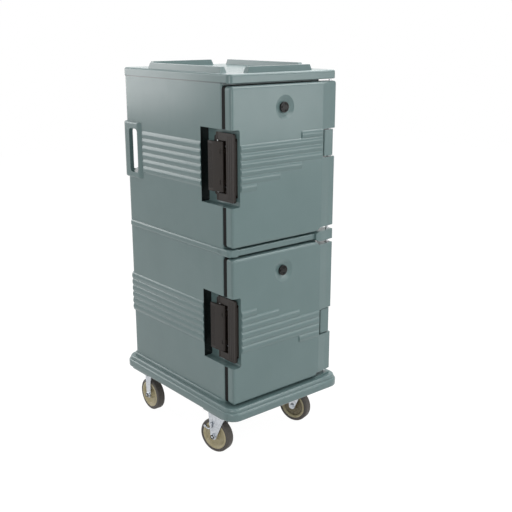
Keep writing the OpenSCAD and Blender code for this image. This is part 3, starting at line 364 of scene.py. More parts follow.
def addPrism(name, outline, axis, start, length):
    # flat outline across an axis, extruded along it; points are (Y, Z), (X, Z) or (X, Y)
    clearSelection()
    bpy.ops.mesh.primitive_circle_add(vertices=len(outline), radius=mm, fill_type="NGON")
    piece = bpy.context.object
    piece.name = name
    bpy.ops.object.mode_set(mode="EDIT")
    mesh = bmesh.from_edit_mesh(piece.data)
    mesh.verts.ensure_lookup_table()
    along = "XYZ".index(axis)
    for vert, point in zip(mesh.verts, outline):
        place = list(point)
        place.insert(along, start)
        vert.co = Vector(place) * mm
    bmesh.update_edit_mesh(piece.data)
    bpy.ops.mesh.select_all(action="SELECT")
    move = [0, 0, 0]
    move[along] = length * mm
    bpy.ops.mesh.extrude_region_move(TRANSFORM_OT_translate={"value": move})
    bpy.ops.mesh.select_all(action="SELECT")
    bpy.ops.mesh.normals_make_consistent(inside=False)
    bpy.ops.object.mode_set(mode="OBJECT")
    return piece


def arc(middle, radius, angles):
    # points on a circle for an outline, at angles in degrees
    return [(middle[0] + radius * math.cos(math.radians(a)), middle[1] + radius * math.sin(math.radians(a)))
            for a in angles]


def selectFaces(piece, test):
    # edit mode, with the faces selected whose middle (mm) and normal pass the test
    makeActive(piece)
    bpy.ops.object.mode_set(mode="EDIT")
    bpy.ops.mesh.select_mode(type="FACE")
    bpy.ops.mesh.select_all(action="DESELECT")
    mesh = bmesh.from_edit_mesh(piece.data)
    for face in mesh.faces:
        face.select_set(bool(test(face.calc_center_median() / mm, face.normal)))
    bmesh.update_edit_mesh(piece.data)


def selectEdges(piece, test):
    # the same for edges, by their middle (mm) and direction
    makeActive(piece)
    bpy.ops.object.mode_set(mode="EDIT")
    bpy.ops.mesh.select_mode(type="EDGE")
    bpy.ops.mesh.select_all(action="DESELECT")
    mesh = bmesh.from_edit_mesh(piece.data)
    for edge in mesh.edges:
        first, second = (v.co / mm for v in edge.verts)
        edge.select_set(bool(test((first + second) / 2, (second - first).normalized())))
    bmesh.update_edit_mesh(piece.data)


def runningAlong(axis):
    # test for the edges that run along an axis
    return lambda middle, way: abs(way["XYZ".index(axis)]) > 0.9


def endRims(middleX, half):
    # test for the rims of a rod along X, half its length from its middle
    return lambda middle, way: abs(abs(middle.x - middleX) - half) < 0.01


def roundEdges(piece, test, radius, segments=4):
    selectEdges(piece, test)
    bpy.ops.mesh.bevel(offset=radius * mm, segments=segments, affect="EDGES")
    bpy.ops.object.mode_set(mode="OBJECT")


def turnEnds(piece, axis, steps, side=0):
    # steps of (inset, depth) on the flat ends across an axis, as on a lathe: a slope, or a straight wall
    # where the inset is 0; side -1 or 1 keeps to one end
    along = "XYZ".index(axis)
    selectFaces(piece, lambda middle, normal:
                abs(normal[along]) > 0.99 and (not side or normal[along] * side > 0))
    for inset, depth in steps:
        if inset:
            bpy.ops.mesh.inset(thickness=inset * mm, depth=depth * mm, use_even_offset=True)
        else:
            bpy.ops.mesh.extrude_region_shrink_fatten(TRANSFORM_OT_shrink_fatten={"value": depth * mm})


def applyModifier(piece, kind, **settings):
    makeActive(piece)
    modifier = piece.modifiers.new(kind.lower(), kind)
    for key, value in settings.items():
        setattr(modifier, key, value)
    bpy.ops.object.modifier_apply(modifier=modifier.name)


def carve(piece, tools, operation="DIFFERENCE"):
    for tool in tools:
        applyModifier(piece, "BOOLEAN", object=tool, operation=operation, solver="EXACT")
        bpy.data.objects.remove(tool)
    return piece


def joinPieces(name, parts):
    makeActive(parts[0])
    for part in parts:
        part.select_set(True)
    bpy.ops.object.join()
    bpy.context.object.name = name
    return bpy.context.object


def copyPiece(piece, name, move=(0, 0, 0), turn=None):
    # a copy with its own mesh, turned about the origin by a matrix and then moved (mm)
    copy = piece.copy()
    copy.data = piece.data.copy()
    copy.name = name
    bpy.context.scene.collection.objects.link(copy)
    shift = Matrix.Translation(Vector(move) * mm)
    if turn is not None:
        shift = shift @ turn
    copy.data.transform(shift)
    if shift.determinant() < 0:
        copy.data.flip_normals()
    return copy


def finishPiece(piece, body, replaced, slot, radius=0.0):
    # soft moulded or pressed edges, smooth shading, its finish, its body and the nodes it stands for
    if radius:
        applyModifier(piece, "BEVEL", width=radius * mm, segments=softEdge["segments"], limit_method="ANGLE",
                      angle_limit=math.radians(softEdge["fromAngle"]), harden_normals=False)
    makeActive(piece)
    bpy.ops.object.shade_smooth_by_angle(angle=math.radians(softEdge["smoothAngle"]))
    applyModifier(piece, "WEIGHTED_NORMAL", keep_sharp=True)
    piece.data.materials.clear()
    piece.data.materials.append(finishes[slot])
    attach(piece, body)
    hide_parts(*replaced)
    return piece


# Draw latch: a nylon lever on a base in the cabinet's recess, and a loop that hooks on the door's keeper.
# The pins run upright, at (X, Y), and heights are from the latch's middle
latch = {"pin": (-210, -246), "loopPin": (-209, -222), "floorX": -197, "plateThick": 2.5,
         "lugAt": 50, "lugHeight": 14, "screwAt": 66, "screwHole": 2.2}
leverSizes = {"height": 164, "faceX": -224, "tipY": -186, "thick": 7, "barrel": 7, "tipChamfer": 2,
              "grooves": 5, "grooveFrom": 2, "grooveTo": 4, "grooveDepth": 0.7, "grooveWide": 2.2,
              "grooveEnd": 9, "lugSpace": 8, "lugPlay": 0.6, "pinHole": 3.06, "loopHole": 3.03, "edge": 0.9}


def makeLever(s):
    top = s["height"] / 2
    inX = s["faceX"] + s["thick"]
    bendY = latch["loopPin"][1] + s["barrel"]
    cut = s["tipChamfer"]
    outline = arc(latch["pin"], s["barrel"], range(180, 361, 15))
    outline += arc(latch["loopPin"], s["barrel"], range(0, 91, 15))
    outline += [(inX, bendY + s["thick"]), (inX, s["tipY"] - cut), (inX - cut, s["tipY"]),
                (s["faceX"] + cut, s["tipY"]), (s["faceX"], s["tipY"] - cut), (s["faceX"], bendY)]
    piece = addPrism("lever", outline, "Z", -top, 2 * top)
    tools = []
    firstY = bendY + s["grooveFrom"]
    pitch = (s["tipY"] - s["grooveTo"] - firstY) / s["grooves"]
    half, end = s["grooveWide"] / 2, top - s["grooveEnd"]
    for k in range(s["grooves"]):
        y = firstY + pitch * (k + 0.5)
        tools.append(addBlock("groove", (s["faceX"] - past, y - half, -end),
                              (s["faceX"] + s["grooveDepth"], y + half, end)))
    for side in (-1, 1):
        tools.append(addRod("lugSpace", (*latch["pin"], side * latch["lugAt"]), "Z", s["lugSpace"],
                            latch["lugHeight"] + s["lugPlay"]))
    tools.append(addRod("pinHole", (*latch["pin"], 0), "Z", s["pinHole"], 4 * top))
    tools.append(addRod("loopHole", (*latch["loopPin"], 0), "Z", s["loopHole"], 4 * top))
    return carve(piece, tools)


loopSizes = {"height": 222, "arm": 25, "armLap": 8, "thick": 8, "barFront": -309, "barWidth": 39, "corner": 6,
             "flutes": 3, "fluteFrom": 11, "flutePitch": 10, "fluteWide": 2.4, "fluteDepth": 0.6,
             "fluteEnd": 8, "hookThick": 5, "hookLap": 2, "hookGap": 2.9, "eye": 6, "hole": 3.06, "edge": 0.9}


def makeLoop(s):
    half = s["height"] / 2
    inner = half - s["arm"]
    pinX, pinY = latch["loopPin"]
    outX = pinX - s["thick"] / 2
    inX = outX + s["thick"]
    backY = s["barFront"] + s["barWidth"]
    piece = addBlock("loop", (outX, s["barFront"], -half), (inX, backY, half))
    roundEdges(piece, runningAlong("X"), s["corner"], 5)
    # shallow flutes in the bar's face
    wide, end = s["fluteWide"] / 2, half - s["fluteEnd"]
    flutes = []
    for k in range(s["flutes"]):
        y = s["barFront"] + s["fluteFrom"] + s["flutePitch"] * k
        flutes.append(addBlock("flute", (outX - past, y - wide, -end),
                               (outX + s["fluteDepth"], y + wide, end)))
    carve(piece, flutes)
    arms = []
    for side in (-1, 1):
        low, high = sorted((side * inner, side * half))
        arms.append(addBlock("arm", (outX, backY - s["armLap"], low), (inX, pinY, high)))
        arms.append(addRod("eye", (pinX, pinY, (low + high) / 2), "Z", s["eye"], s["arm"]))
    # the hook behind the bar, over the keeper's lip
    arms.append(addBlock("hook", (inX - s["hookLap"], s["barFront"], -inner),
                         (latch["floorX"] - s["hookGap"], s["barFront"] + s["hookThick"], inner)))
    carve(piece, arms, "UNION")
    return carve(piece, [addRod("hole", (pinX, pinY, 0), "Z", s["hole"], 3 * half)])


def screwHoles(screwY):
    places = [(latch["floorX"], screwY, side * latch["screwAt"]) for side in (-1, 1)]
    return [addRod("screwHole", place, "X", latch["screwHole"], 14, 24) for place in places]


baseSizes = {"y": (-263, -191), "half": 98, "corner": 6, "lug": 6.5, "lugSink": 1, "pinHole": 3.03,
             "screwY": -253, "edge": 0.5}


def makeBase(s):
    floorX, (pinX, pinY) = latch["floorX"], latch["pin"]
    piece = addBlock("base", (floorX - latch["plateThick"], s["y"][0], -s["half"]),
                     (floorX, s["y"][1], s["half"]))
    roundEdges(piece, runningAlong("X"), s["corner"])
    lugs = []
    half = latch["lugHeight"] / 2
    for z in (-latch["lugAt"], latch["lugAt"]):
        lugs.append(addBlock("lug", (pinX, pinY - s["lug"], z - half),
                             (floorX - s["lugSink"], pinY + s["lug"], z + half)))
        lugs.append(addRod("lugEnd", (pinX, pinY, z), "Z", s["lug"], latch["lugHeight"]))
    carve(piece, lugs, "UNION")
    pinHole = addRod("pinHole", (pinX, pinY, 0), "Z", s["pinHole"], 180)
    return carve(piece, screwHoles(s["screwY"]) + [pinHole])


keeperSizes = {"y": (-308.5, -276.5), "half": 96, "corner": 4, "lipY": (-306.6, -300.6), "lipHalf": 81,
               "lipProud": 5.9, "lipSink": 1, "screwY": -296.2, "edge": 0.5}


def makeKeeper(s):
    floorX = latch["floorX"]
    piece = addBlock("keeper", (floorX - latch["plateThick"], s["y"][0], -s["half"]),
                     (floorX, s["y"][1], s["half"]))
    roundEdges(piece, runningAlong("X"), s["corner"])
    lip = addBlock("lip", (floorX - s["lipProud"], s["lipY"][0], -s["lipHalf"]),
                   (floorX - s["lipSink"], s["lipY"][1], s["lipHalf"]))
    carve(piece, [lip], "UNION")
    return carve(piece, screwHoles(s["screwY"]))


# Pan head screw with a cross recess, its axis along X and its seat at place
screwSizes = {"head": 4, "headThick": 1.4, "crown": 0.6, "shank": 2, "shankAt": 2.8, "shankLong": 8.4,
              "slotHalf": (0.45, 2.1), "slotFloor": 0.75}


def makeScrew(s, place):
    x, y, z = place
    head = addRod("screwHead", (x - s["headThick"] / 2, y, z), "X", s["head"], s["headThick"], 40)
    roundEdges(head, lambda middle, way: middle.x < x - s["headThick"] + 0.1, s["crown"], 3)
    carve(head, [addRod("shank", (x + s["shankAt"], y, z), "X", s["shank"], s["shankLong"], 24)], "UNION")
    slots = [addBlock("slot", (x - past, y - a, z - b), (x - s["slotFloor"], y + a, z + b))
             for a, b in (s["slotHalf"], s["slotHalf"][::-1])]
    return carve(head, slots)


latchBits = {"lever": makeLever(leverSizes), "loop": makeLoop(loopSizes),
             "base": makeBase(baseSizes), "keeper": makeKeeper(keeperSizes)}
screwSeatX = latch["floorX"] - latch["plateThick"]
baseScrew = makeScrew(screwSizes, (screwSeatX, baseSizes["screwY"], 0))
keeperScrew = makeScrew(screwSizes, (screwSeatX, keeperSizes["screwY"], 0))
baseScrews = []
for door, z in doorMiddle.items():
    for kind, name, body, edge in (("lever", "Lever", door + "_lever", leverSizes["edge"]),
                                   ("loop", "Loop", door + "_loop", loopSizes["edge"]),
                                   ("base", "LatchBase", "cabinet", baseSizes["edge"]),
                                   ("keeper", "Keeper", door + "_door", keeperSizes["edge"])):
        piece = copyPiece(latchBits[kind], door + name, (0, 0, z))
        finishPiece(piece, body, [door + "_latch_" + kind], "nylon", edge)
    heights = [z + side * latch["screwAt"] for side in (-1, 1)]
    screws = [copyPiece(keeperScrew, "screw", (0, 0, height)) for height in heights]
    finishPiece(joinPieces(door + "KeeperScrews", screws), door + "_door", [door + "_keeper_screws"], "steel")
    baseScrews += [copyPiece(baseScrew, "screw", (0, 0, height)) for height in heights]
finishPiece(joinPieces("baseScrews", baseScrews), "cabinet", ["latch_base_screws"], "steel")
for bit in [*latchBits.values(), baseScrew, keeperScrew]:
    bpy.data.objects.remove(bit)
print("stage: latches")


# Black band round the rear rim of each door, a dark strip of painted shade for the deep gap beside the wall,
# in the seal's rubber finish
rimShadeBand = {"corner": 12, "proud": 0.4, "deep": 4, "y": (-290, -273.3), "toX": 150, "notchIn": 36,
        "notchHalf": 125, "clear": 5, "far": 300, "edge": 0.3}


def rimOutline(radius, grow):
    # the door's outline with rounded corners, grown all round
    points = []
    for wayX, wayZ, start in ((1, 1, 0), (-1, 1, 90), (-1, -1, 180), (1, -1, 270)):
        middle = (wayX * (doorHalf["width"] - radius), wayZ * (doorHalf["height"] - radius))
        points += arc(middle, radius + grow, range(start, start + 91, 15))
    return points


def makeRimShadeBand(s):
    low, high = s["y"]
    lowest, highest, far = low - s["clear"], high + s["clear"], s["far"]
    piece = addPrism("rimShadeBand", rimOutline(s["corner"], s["proud"]), "Y", low, high - low)
    tools = [addPrism("inner", rimOutline(s["corner"], -s["deep"]), "Y", lowest, highest - lowest),
             addBlock("hingeSide", (s["toX"], lowest, -far), (far, highest, far)),
             addBlock("latchNotch", (-far, lowest, -s["notchHalf"]),
                      (s["notchIn"] - doorHalf["width"], highest, s["notchHalf"]))]
    return carve(piece, tools)


rimShadeBandBit = makeRimShadeBand(rimShadeBand)
# each door gets the black band of painted shade round its rear rim
for door, z in doorMiddle.items():
    finishPiece(copyPiece(rimShadeBandBit, door + "RimShadeBand", (0, 0, z)), door + "_door", [], "gasket", rimShadeBand["edge"])
bpy.data.objects.remove(rimShadeBandBit)
print("stage: bands")


# Side belt carried round into the rail at the front left corner
wrap = {"outX": -236.5, "frontY": -312.3, "backY": -250, "inX": -200, "radius": 16, "z": (756, 782),
        "frontThick": 12, "sideThick": 14, "edge": 7}


def makeWrap(s):
    r = s["radius"]
    outline = [(s["outX"], s["backY"])]
    outline += arc((s["outX"] + r, s["frontY"] + r), r, range(180, 271, 10))
    outline += [(s["inX"], s["frontY"]), (s["inX"], s["frontY"] + s["frontThick"]),
                (s["outX"] + s["sideThick"], s["backY"])]
    piece = addPrism("wrap", outline, "Z", s["z"][0], s["z"][1] - s["z"][0])
    # long upper and lower edges of the outer faces
    roundEdges(piece, lambda middle, way:
               abs(way.z) < 0.1 and middle.x < s["outX"] + r and middle.y < s["backY"] - 1, s["edge"], 5)
    return piece


finishPiece(makeWrap(wrap), "cabinet", [], "shell")
print("stage: belt")


# Vent cap: a turned disc with a finger bar and two slots, on a hollow stem through the door
vent = {"x": -8, "drop": 75, "frontY": -319.5, "radius": 17.5, "thick": 6, "edge": 0.5,
        "steps": [(2.6, 0), (1.2, -1.4), (2.0, 0), (1.2, 0.5)],
        "barLong": 26, "barWide": 7, "barProud": 2.4, "barCorner": 3.2,
        "slotLong": 14, "slotWide": 3.6, "slotAt": 10, "slotDepth": 4.5, "slotCorner": 1.6,
        "stemRadius": 13.9, "stemStart": 4, "stemEndY": -270, "boreRadius": 7, "boreStart": 9}


def makeVent(s):
    x, frontY, endY = s["x"], s["frontY"], s["stemEndY"]
    cap = addRod("cap", (x, frontY + s["thick"] / 2, 0), "Y", s["radius"], s["thick"], 72)
    turnEnds(cap, "Y", s["steps"], -1)
    bpy.ops.object.mode_set(mode="OBJECT")
    long, wide = s["barLong"] / 2, s["barWide"] / 2
    bar = addBlock("bar", (x - long, frontY - s["barProud"], -wide), (x + long, frontY + past, wide))
    roundEdges(bar, runningAlong("Y"), s["barCorner"], 5)
    stemY = frontY + s["stemStart"]
    stem = addRod("stem", (x, (stemY + endY) / 2, 0), "Y", s["stemRadius"], endY - stemY)
    carve(cap, [bar, stem], "UNION")
    tools = []
    long, wide = s["slotLong"] / 2, s["slotWide"] / 2
    for middle in (-s["slotAt"], s["slotAt"]):
        slot = addBlock("ventSlot", (x - long, frontY - past, middle - wide),
                        (x + long, frontY + s["slotDepth"], middle + wide))
        roundEdges(slot, runningAlong("Y"), s["slotCorner"])
        tools.append(slot)
    tools.append(addRod("bore", (x, endY, 0), "Y", s["boreRadius"], 2 * (endY - frontY - s["boreStart"])))
    return carve(cap, tools)


capBit = makeVent(vent)
for door, z in doorMiddle.items():
    cap = copyPiece(capBit, door + "VentCap", (0, 0, z + doorHalf["height"] - vent["drop"]))
    finishPiece(cap, door + "_vent", [door + "_vent_cap"], "vent", vent["edge"])
bpy.data.objects.remove(capBit)
print("stage: vent caps")


# Casters: a wheel centre dished on both sides, a rounded tread, pressed forks and their bolts
casterPlace = {"front_left": (-190, -216), "front_right": (190, -216),
               "rear_left": (-190, 257), "rear_right": (190, 257)}
frontTurn = 15  # degrees that the front casters stand turned
axleZ = 63.5


def axleRod(name, x, radius, length, sides):
    return addRod(name, (x, 0, axleZ), "X", radius, length, sides)


# Wheel centre, turned in steps from the rim inwards: edge, shoulder, dished web with a shallow ring, hub
wheel = {"radius": 50.97, "width": 31.9, "hubRadius": 14.9, "boreRadius": 8.57, "edge": 0.7,
         "steps": [(1.0, 0.3), (4.4, 0), (0.8, -2.2), (2.2, -0.4), (4.4, -4.6), (6.0, -0.9), (0.7, 0.7),
                   (1.6, 0), (0.7, -0.7), (9.2, -1.2), (2.4, 1.4), (1.1, 7.4), (1.0, 0.8)]}


def makeWheelCentre(s):
    centre = axleRod("centre", 0, s["radius"], s["width"], 96)
    turnEnds(centre, "X", s["steps"])
    bpy.ops.mesh.inset(thickness=(s["hubRadius"] - s["boreRadius"]) * mm, depth=0)
    bpy.ops.mesh.bridge_edge_loops()  # joins the two ends as the bore
    bpy.ops.object.mode_set(mode="OBJECT")
    return centre


# Tread with rounded corners, and a fine step on each side
tyre = {"radius": 63.5, "width": 32, "corner": 5.5, "seatPlay": 0.03,
        "steps": [(0.6, 0), (1.2, -0.5), (2.2, 0), (0.8, 0.3)]}


def makeTread(s):
    tread = axleRod("tread", 0, s["radius"], s["width"], 128)
    roundEdges(tread, endRims(0, s["width"] / 2), s["corner"], 6)
    turnEnds(tread, "X", s["steps"])
    bpy.ops.object.mode_set(mode="OBJECT")
    return carve(tread, [axleRod("seat", 0, wheel["radius"] + s["seatPlay"], 60, 128)])


# Pressed forks; frontLow is a point (Y, Z) low on the leg's front edge, along which the flange leans
fork = {"outer": 22, "thick": 3.5, "topZ": 157.7, "lowRadius": 13, "frontTop": -56, "rearTop": 22,
        "trail": 36, "crownZ": 153.7, "crownRadius": 27, "flange": 15, "flangeLow": 4, "flangeThick": 2.4,
        "flangeLowZ": 119, "flangeLap": 1, "frontLow": (-27, 93), "axleHole": 6.03, "kingHole": 6.06,
        "edge": 0.5}


def makeLeg(s, frontTop, rearTop, topZ, side):
    # one leg across the wheel's side: a tongue that widens to the crown
    outline = arc((0, axleZ), s["lowRadius"], range(-174, -5, 12)) + [(rearTop, topZ), (frontTop, topZ)]
    x0, x1 = sorted((side * s["outer"], side * (s["outer"] - s["thick"])))
    return addPrism("leg", outline, "X", x0, x1 - x0)


def makeSwivelFork(s):
    piece, otherLeg = [makeLeg(s, s["frontTop"], s["rearTop"], s["topZ"], side) for side in (-1, 1)]
    crown = addBlock("crown", (-s["outer"], s["frontTop"], s["crownZ"]),
                     (s["outer"], s["rearTop"], s["topZ"]))
    race = addRod("race", (0, -s["trail"], (s["crownZ"] + s["topZ"]) / 2), "Z", s["crownRadius"],
                  s["topZ"] - s["crownZ"], 64)
    carve(piece, [otherLeg, crown, race], "UNION")
    # flange turned inwards along the front edge of each leg, narrowing downwards
    lowY, lowZ = s["frontLow"]
    slope = (s["frontTop"] - lowY) / (s["topZ"] - lowZ)
    startY = lowY + slope * (s["flangeLowZ"] - lowZ)
    topZ, outX = s["topZ"] - s["flangeLap"], s["outer"] - s["flangeLap"]
    for side in (-1, 1):
        face = [(side * outX, topZ), (side * (s["outer"] - s["flange"]), topZ),
                (side * (s["outer"] - s["flangeLow"]), s["flangeLowZ"]), (side * outX, s["flangeLowZ"])]
        flange = addPrism("flange", face, "Y", 0, s["flangeThick"])
        for vert in flange.data.vertices:
            vert.co.y += (startY + slope * (vert.co.z / mm - s["flangeLowZ"])) * mm
        carve(piece, [flange], "UNION")
    return carve(piece, [axleRod("axleHole", 0, s["axleHole"], 80, 48),
                         addRod("kingHole", (0, -s["trail"], s["crownZ"]), "Z", s["kingHole"], 40)])


# The rear fork is fixed, under a plate with four bolts
rigidFork = {"halfWide": 20, "topZ": 168, "plateHalf": (46, 52), "plateZ": (166, 170), "corner": 8,
             "boltAt": (33, 39), "boltHole": 4.2}
boltPlaces = [(x, y) for x in (-rigidFork["boltAt"][0], rigidFork["boltAt"][0])
              for y in (-rigidFork["boltAt"][1], rigidFork["boltAt"][1])]


def makeRigidFork(s):
    legs = [makeLeg(fork, -s["halfWide"], s["halfWide"], s["topZ"], side) for side in (-1, 1)]
    (halfX, halfY), (low, high) = s["plateHalf"], s["plateZ"]
    plate = addBlock("plate", (-halfX, -halfY, low), (halfX, halfY, high))
    roundEdges(plate, runningAlong("Z"), s["corner"], 5)
    carve(plate, legs, "UNION")
    holes = [axleRod("axleHole", 0, fork["axleHole"], 80, 48)]
    holes += [addRod("boltHole", (x, y, s["topZ"]), "Z", s["boltHole"], 12, 24) for x, y in boltPlaces]
    return carve(plate, holes)


# Axle bolt: hexagon head and lock nut on washers outside the legs; rods are (X of the middle, radius, length)
axleBolt = {"axle": (0, 6, 52), "end": (27, 4.5, 7.2), "washer": (22.9, 10.6, 1.6),
            "hexagon": (26.1, 9.6, 5.2), "coneRadius": 9.2, "chamfer": 0.8, "edge": 0.25}


def makeAxleBolt(s):
    bolt = axleRod("axle", *s["axle"], 40)
    parts = [axleRod("end", *s["end"], 32)]
    washerX, *washer = s["washer"]
    x, radius, length = s["hexagon"]
    for side in (-1, 1):
        parts.append(axleRod("washer", side * washerX, *washer, 48))
        hexagon = axleRod("hexagon", side * x, radius, length, 6)
        cone = axleRod("chamfer", side * x, s["coneRadius"], length, 48)
        roundEdges(cone, endRims(0, x + length / 2), s["chamfer"], 1)
        carve(hexagon, [cone], "INTERSECT")
        parts.append(hexagon)
    return carve(bolt, parts, "UNION")


# Nylon ring of the lock nut, on its outer face, round the bolt's end
lockRing = {"ring": (29.8, 7.8, 2.4), "hole": (30, 4.6, 4), "edge": 0.8}


def makeLockRing(s):
    ring = axleRod("lockRing", *s["ring"], 40)
    roundEdges(ring, endRims(0, s["ring"][0] + s["ring"][2] / 2), s["edge"], 3)
    return carve(ring, [axleRod("boltEnd", *s["hole"], 32)])


# Brake lever of the right-hand caster: a stub in the outer leg, a boss, a bent bar and a foot pad
brake = {"x": 27, "y": 7, "rise": 48, "stubX": 22.6, "stub": (4, 8.2), "boss": (6.5, 8), "bossEdge": 1.2,
         "barRadius": 3, "bend": 14, "tilt": 27, "foot": (5, 10), "footEdge": 1.5}


def makeBrake(s):
    x, y, z = s["x"], s["y"], axleZ + s["rise"]
    stub = addRod("stub", (s["stubX"], y, z), "X", *s["stub"], 32)
    boss = addRod("boss", (x, y, z), "X", *s["boss"], 40)
    roundEdges(boss, endRims(x, s["boss"][1] / 2), s["bossEdge"], 3)
    # half ring below the boss, by spinning a small disc
    tilt = math.radians(s["tilt"])
    reachY, dropZ = s["bend"] * math.cos(tilt), s["bend"] * math.sin(tilt)
    clearSelection()
    bpy.ops.mesh.primitive_circle_add(vertices=20, radius=s["barRadius"] * mm, fill_type="NGON",
                                      location=(x * mm, y * mm, z * mm), rotation=(-tilt, 0, 0))
    bar = fixPlace(bpy.context.object)
    bpy.ops.object.mode_set(mode="EDIT")
    bpy.ops.mesh.select_all(action="SELECT")
    bpy.ops.mesh.spin(steps=18, angle=-math.pi, center=(x * mm, (y + reachY) * mm, (z - dropZ) * mm),
                      axis=(1, 0, 0))
    bpy.ops.mesh.select_all(action="SELECT")
    bpy.ops.mesh.normals_make_consistent(inside=False)
    bpy.ops.object.mode_set(mode="OBJECT")
    foot = addRod("foot", (x, y + 2 * reachY, z - 2 * dropZ), "X", *s["foot"], 32)
    roundEdges(foot, endRims(x, s["foot"][1] / 2), s["footEdge"], 3)
    return carve(boss, [stub, bar, foot], "UNION")


# Plate bolt: a chamfered hexagon head with a washer face; rods are (Z of the middle, radius, length)
plateBolt = {"seatZ": 166, "head": (-2.6, 7, 4.8), "coneRadius": 6.8, "chamfer": 0.8,
             "face": (-0.35, 7.6, 0.7), "shank": (6.9, 4, 14)}


def makeBolt(s):
    z, radius, length = s["head"]
    head = addRod("head", (0, 0, z), "Z", radius, length, 6)
    cone = addRod("cone", (0, 0, z), "Z", s["coneRadius"], length, 40)
    roundEdges(cone, lambda middle, way: middle.z < z - length / 2 + 0.1, s["chamfer"], 1)
    carve(head, [cone], "INTERSECT")
    faceZ, *face = s["face"]
    shankZ, *shank = s["shank"]
    return carve(head, [addRod("face", (0, 0, faceZ), "Z", *face, 40),
                        addRod("shank", (0, 0, shankZ), "Z", *shank, 24)], "UNION")


bits = {"wheel": makeWheelCentre(wheel), "tyre": makeTread(tyre), "swivel": makeSwivelFork(fork),
        "rigid": makeRigidFork(rigidFork), "axle": makeAxleBolt(axleBolt), "ring": makeLockRing(lockRing),
        "brake": makeBrake(brake), "bolt": makeBolt(plateBolt)}
plateBolts = []
for corner, (x, y) in casterPlace.items():
    isFront = corner.startswith("front")
    name = corner.replace("_left", "Left").replace("_right", "Right")
    turn = Matrix.Rotation(math.radians(frontTurn if isFront else 0), 4, "Z")
    back = turn @ Vector((0, fork["trail"] if isFront else 0, 0))
    flip = Matrix.Scale(1 if x > 0 else -1, 4, (1, 0, 0))
    body = corner + "_swivel" if isFront else "cabinet"
    unit = corner + "_wheel_unit"
    place = (x + back.x, y + back.y, 0)
    forkKind = "swivel" if isFront else "rigid"
    pieces = [("wheel", "Wheel", unit, [corner + "_wheel"], "wheel", wheel["edge"]),
              ("tyre", "Tyre", unit, [corner + "_tyre"], "tyre", 0),
              ("axle", "Axle", body, [corner + "_axle"], "zinc", axleBolt["edge"]),
              ("ring", "LockRing", body, [], "nylon", 0),
              (forkKind, "Fork", body, [corner + "_fork"], "zinc", fork["edge"])]
    if isFront:
        pieces.append(("brake", "Brake", corner + "_brake_lever", [corner + "_brake"], "zinc", 0))
    for kind, title, owner, replaced, slotName, edge in pieces:
        piece = copyPiece(bits[kind], name + title, place, turn @ flip)
        finishPiece(piece, owner, replaced, slotName, edge)
        if kind == "wheel":
            # each caster's dish gets its own share of painted shade
            hub = (*place[:2], axleZ)
            paintedShade = hubLook["dishShadeShare"][corner]
            piece.data.materials[0] = mouldedPolyolefin(hubLook, hub, paintedShade, name + "Polyolefin")
    for dx, dy in boltPlaces:
        plateBolts.append(copyPiece(bits["bolt"], "bolt", (x + dx, y + dy, plateBolt["seatZ"])))
finishPiece(joinPieces("plateBolts", plateBolts), "cabinet", ["caster_bolts"], "zinc")
for bit in bits.values():
    bpy.data.objects.remove(bit)
print("stage: casters")


# Floor, backdrop and soft studio light; the floor looks near white to the camera and keeps a share of shadow
studio = {"floorSize": 14, "floorColour": "cdcdcc", "floorRoughness": 0.8, "cameraShare": 0.87, "white": 1.12,
          "world": 0.3}


def seenRays(tree):
    # 1 for what the camera sees, also through glass and in reflections
    path = addNode(tree, "ShaderNodeLightPath").outputs
    seen = path["Is Camera Ray"]
    for ray in ("Is Transmission Ray", "Is Glossy Ray"):
        seen = addNode(tree, "ShaderNodeMath", {"operation": "MAXIMUM"}, {0: seen, 1: path[ray]}).outputs[0]
    return seen


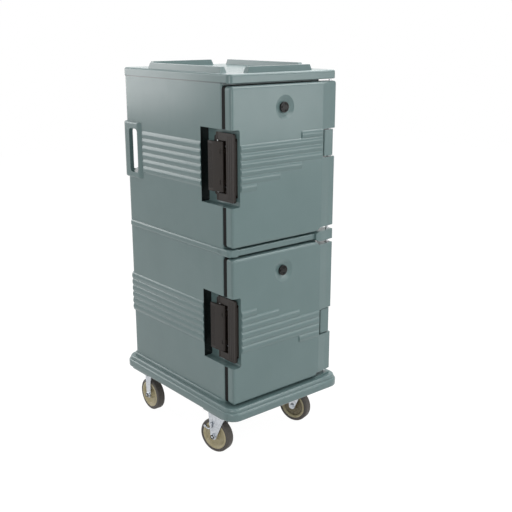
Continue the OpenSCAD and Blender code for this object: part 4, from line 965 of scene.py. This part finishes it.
def addStudio(s):
    world = bpy.data.worlds.new("studioWorld")
    bpy.context.scene.world = world
    world.use_nodes = True
    tree = world.node_tree
    tree.nodes.clear()
    settings = {"To Min": s["world"], "To Max": 1.0}
    level = addNode(tree, "ShaderNodeMapRange", settings, {"Value": seenRays(tree)}).outputs["Result"]
    glow = addNode(tree, "ShaderNodeBackground", {"Color": (1, 1, 1, 1)}, {"Strength": level})
    addNode(tree, "ShaderNodeOutputWorld", links={"Surface": glow.outputs[0]})
    bpy.ops.mesh.primitive_plane_add(size=s["floorSize"], location=(0, 0, 0))
    floor = bpy.context.object
    floor.name = "floor"
    material, tree, shader = newMaterial("paleFloor")[:3]
    shader.inputs["Base Color"].default_value = hexColour(s["floorColour"])
    shader.inputs["Roughness"].default_value = s["floorRoughness"]
    settings = {"operation": "MULTIPLY", 1: s["cameraShare"]}
    share = addNode(tree, "ShaderNodeMath", settings, {0: seenRays(tree)}).outputs[0]
    white = addNode(tree, "ShaderNodeEmission", {"Color": (1, 1, 1, 1), "Strength": s["white"]})
    mix = addNode(tree, "ShaderNodeMixShader", links={0: share, 1: shader.outputs[0], 2: white.outputs[0]})
    output = next(n for n in tree.nodes if n.type == "OUTPUT_MATERIAL")
    tree.links.new(mix.outputs[0], output.inputs["Surface"])
    floor.data.materials.append(material)


# Each lamp is a soft box: place, what it points at, its size and its power in watts
lamps = {
    "rearLeftBox": {"place": (-1.35, 2.75, 1.72), "at": (-0.2, 0.1, 1.0), "size": (1.65, 1.65), "power": 30},
    "frontRightBox": {"place": (1.85, -3.25, 1.1), "at": (0, -0.3, 1.0), "size": (1.9, 0.9), "power": 14.5},
    "ribBox": {"place": (2.2, -1.7, 3.2), "at": (0, -0.3, 1.0), "size": (1.3, 1.3), "power": 27},
    "frontFill": {"place": (1.0, -3.4, 3.0), "at": (0, -0.3, 0.8), "size": (1.8, 1.8), "power": 29},
    "topBox": {"place": (1.0, 0.7, 3.3), "at": (0.1, 0, 1.2), "size": (3.2, 3.4), "power": 110},
    "nearStrip": {"place": (-2.6, -2.1, 1.75), "at": (-0.2, -0.3, 1.05), "size": (0.5, 1.6), "power": 32},
}


def addLamp(name, s):
    data = bpy.data.lights.new(name, "AREA")
    data.shape = "RECTANGLE"
    data.size, data.size_y = s["size"]
    data.energy = s["power"]
    lamp = bpy.data.objects.new(name, data)
    lamp.location = s["place"]
    lamp.rotation_euler = (Vector(s["at"]) - Vector(s["place"])).to_track_quat("-Z", "Y").to_euler()
    bpy.context.scene.collection.objects.link(lamp)


addStudio(studio)
for name, settings in lamps.items():
    addLamp(name, settings)
bpy.context.scene.view_settings.view_transform = "Standard"
print("stage: studio")
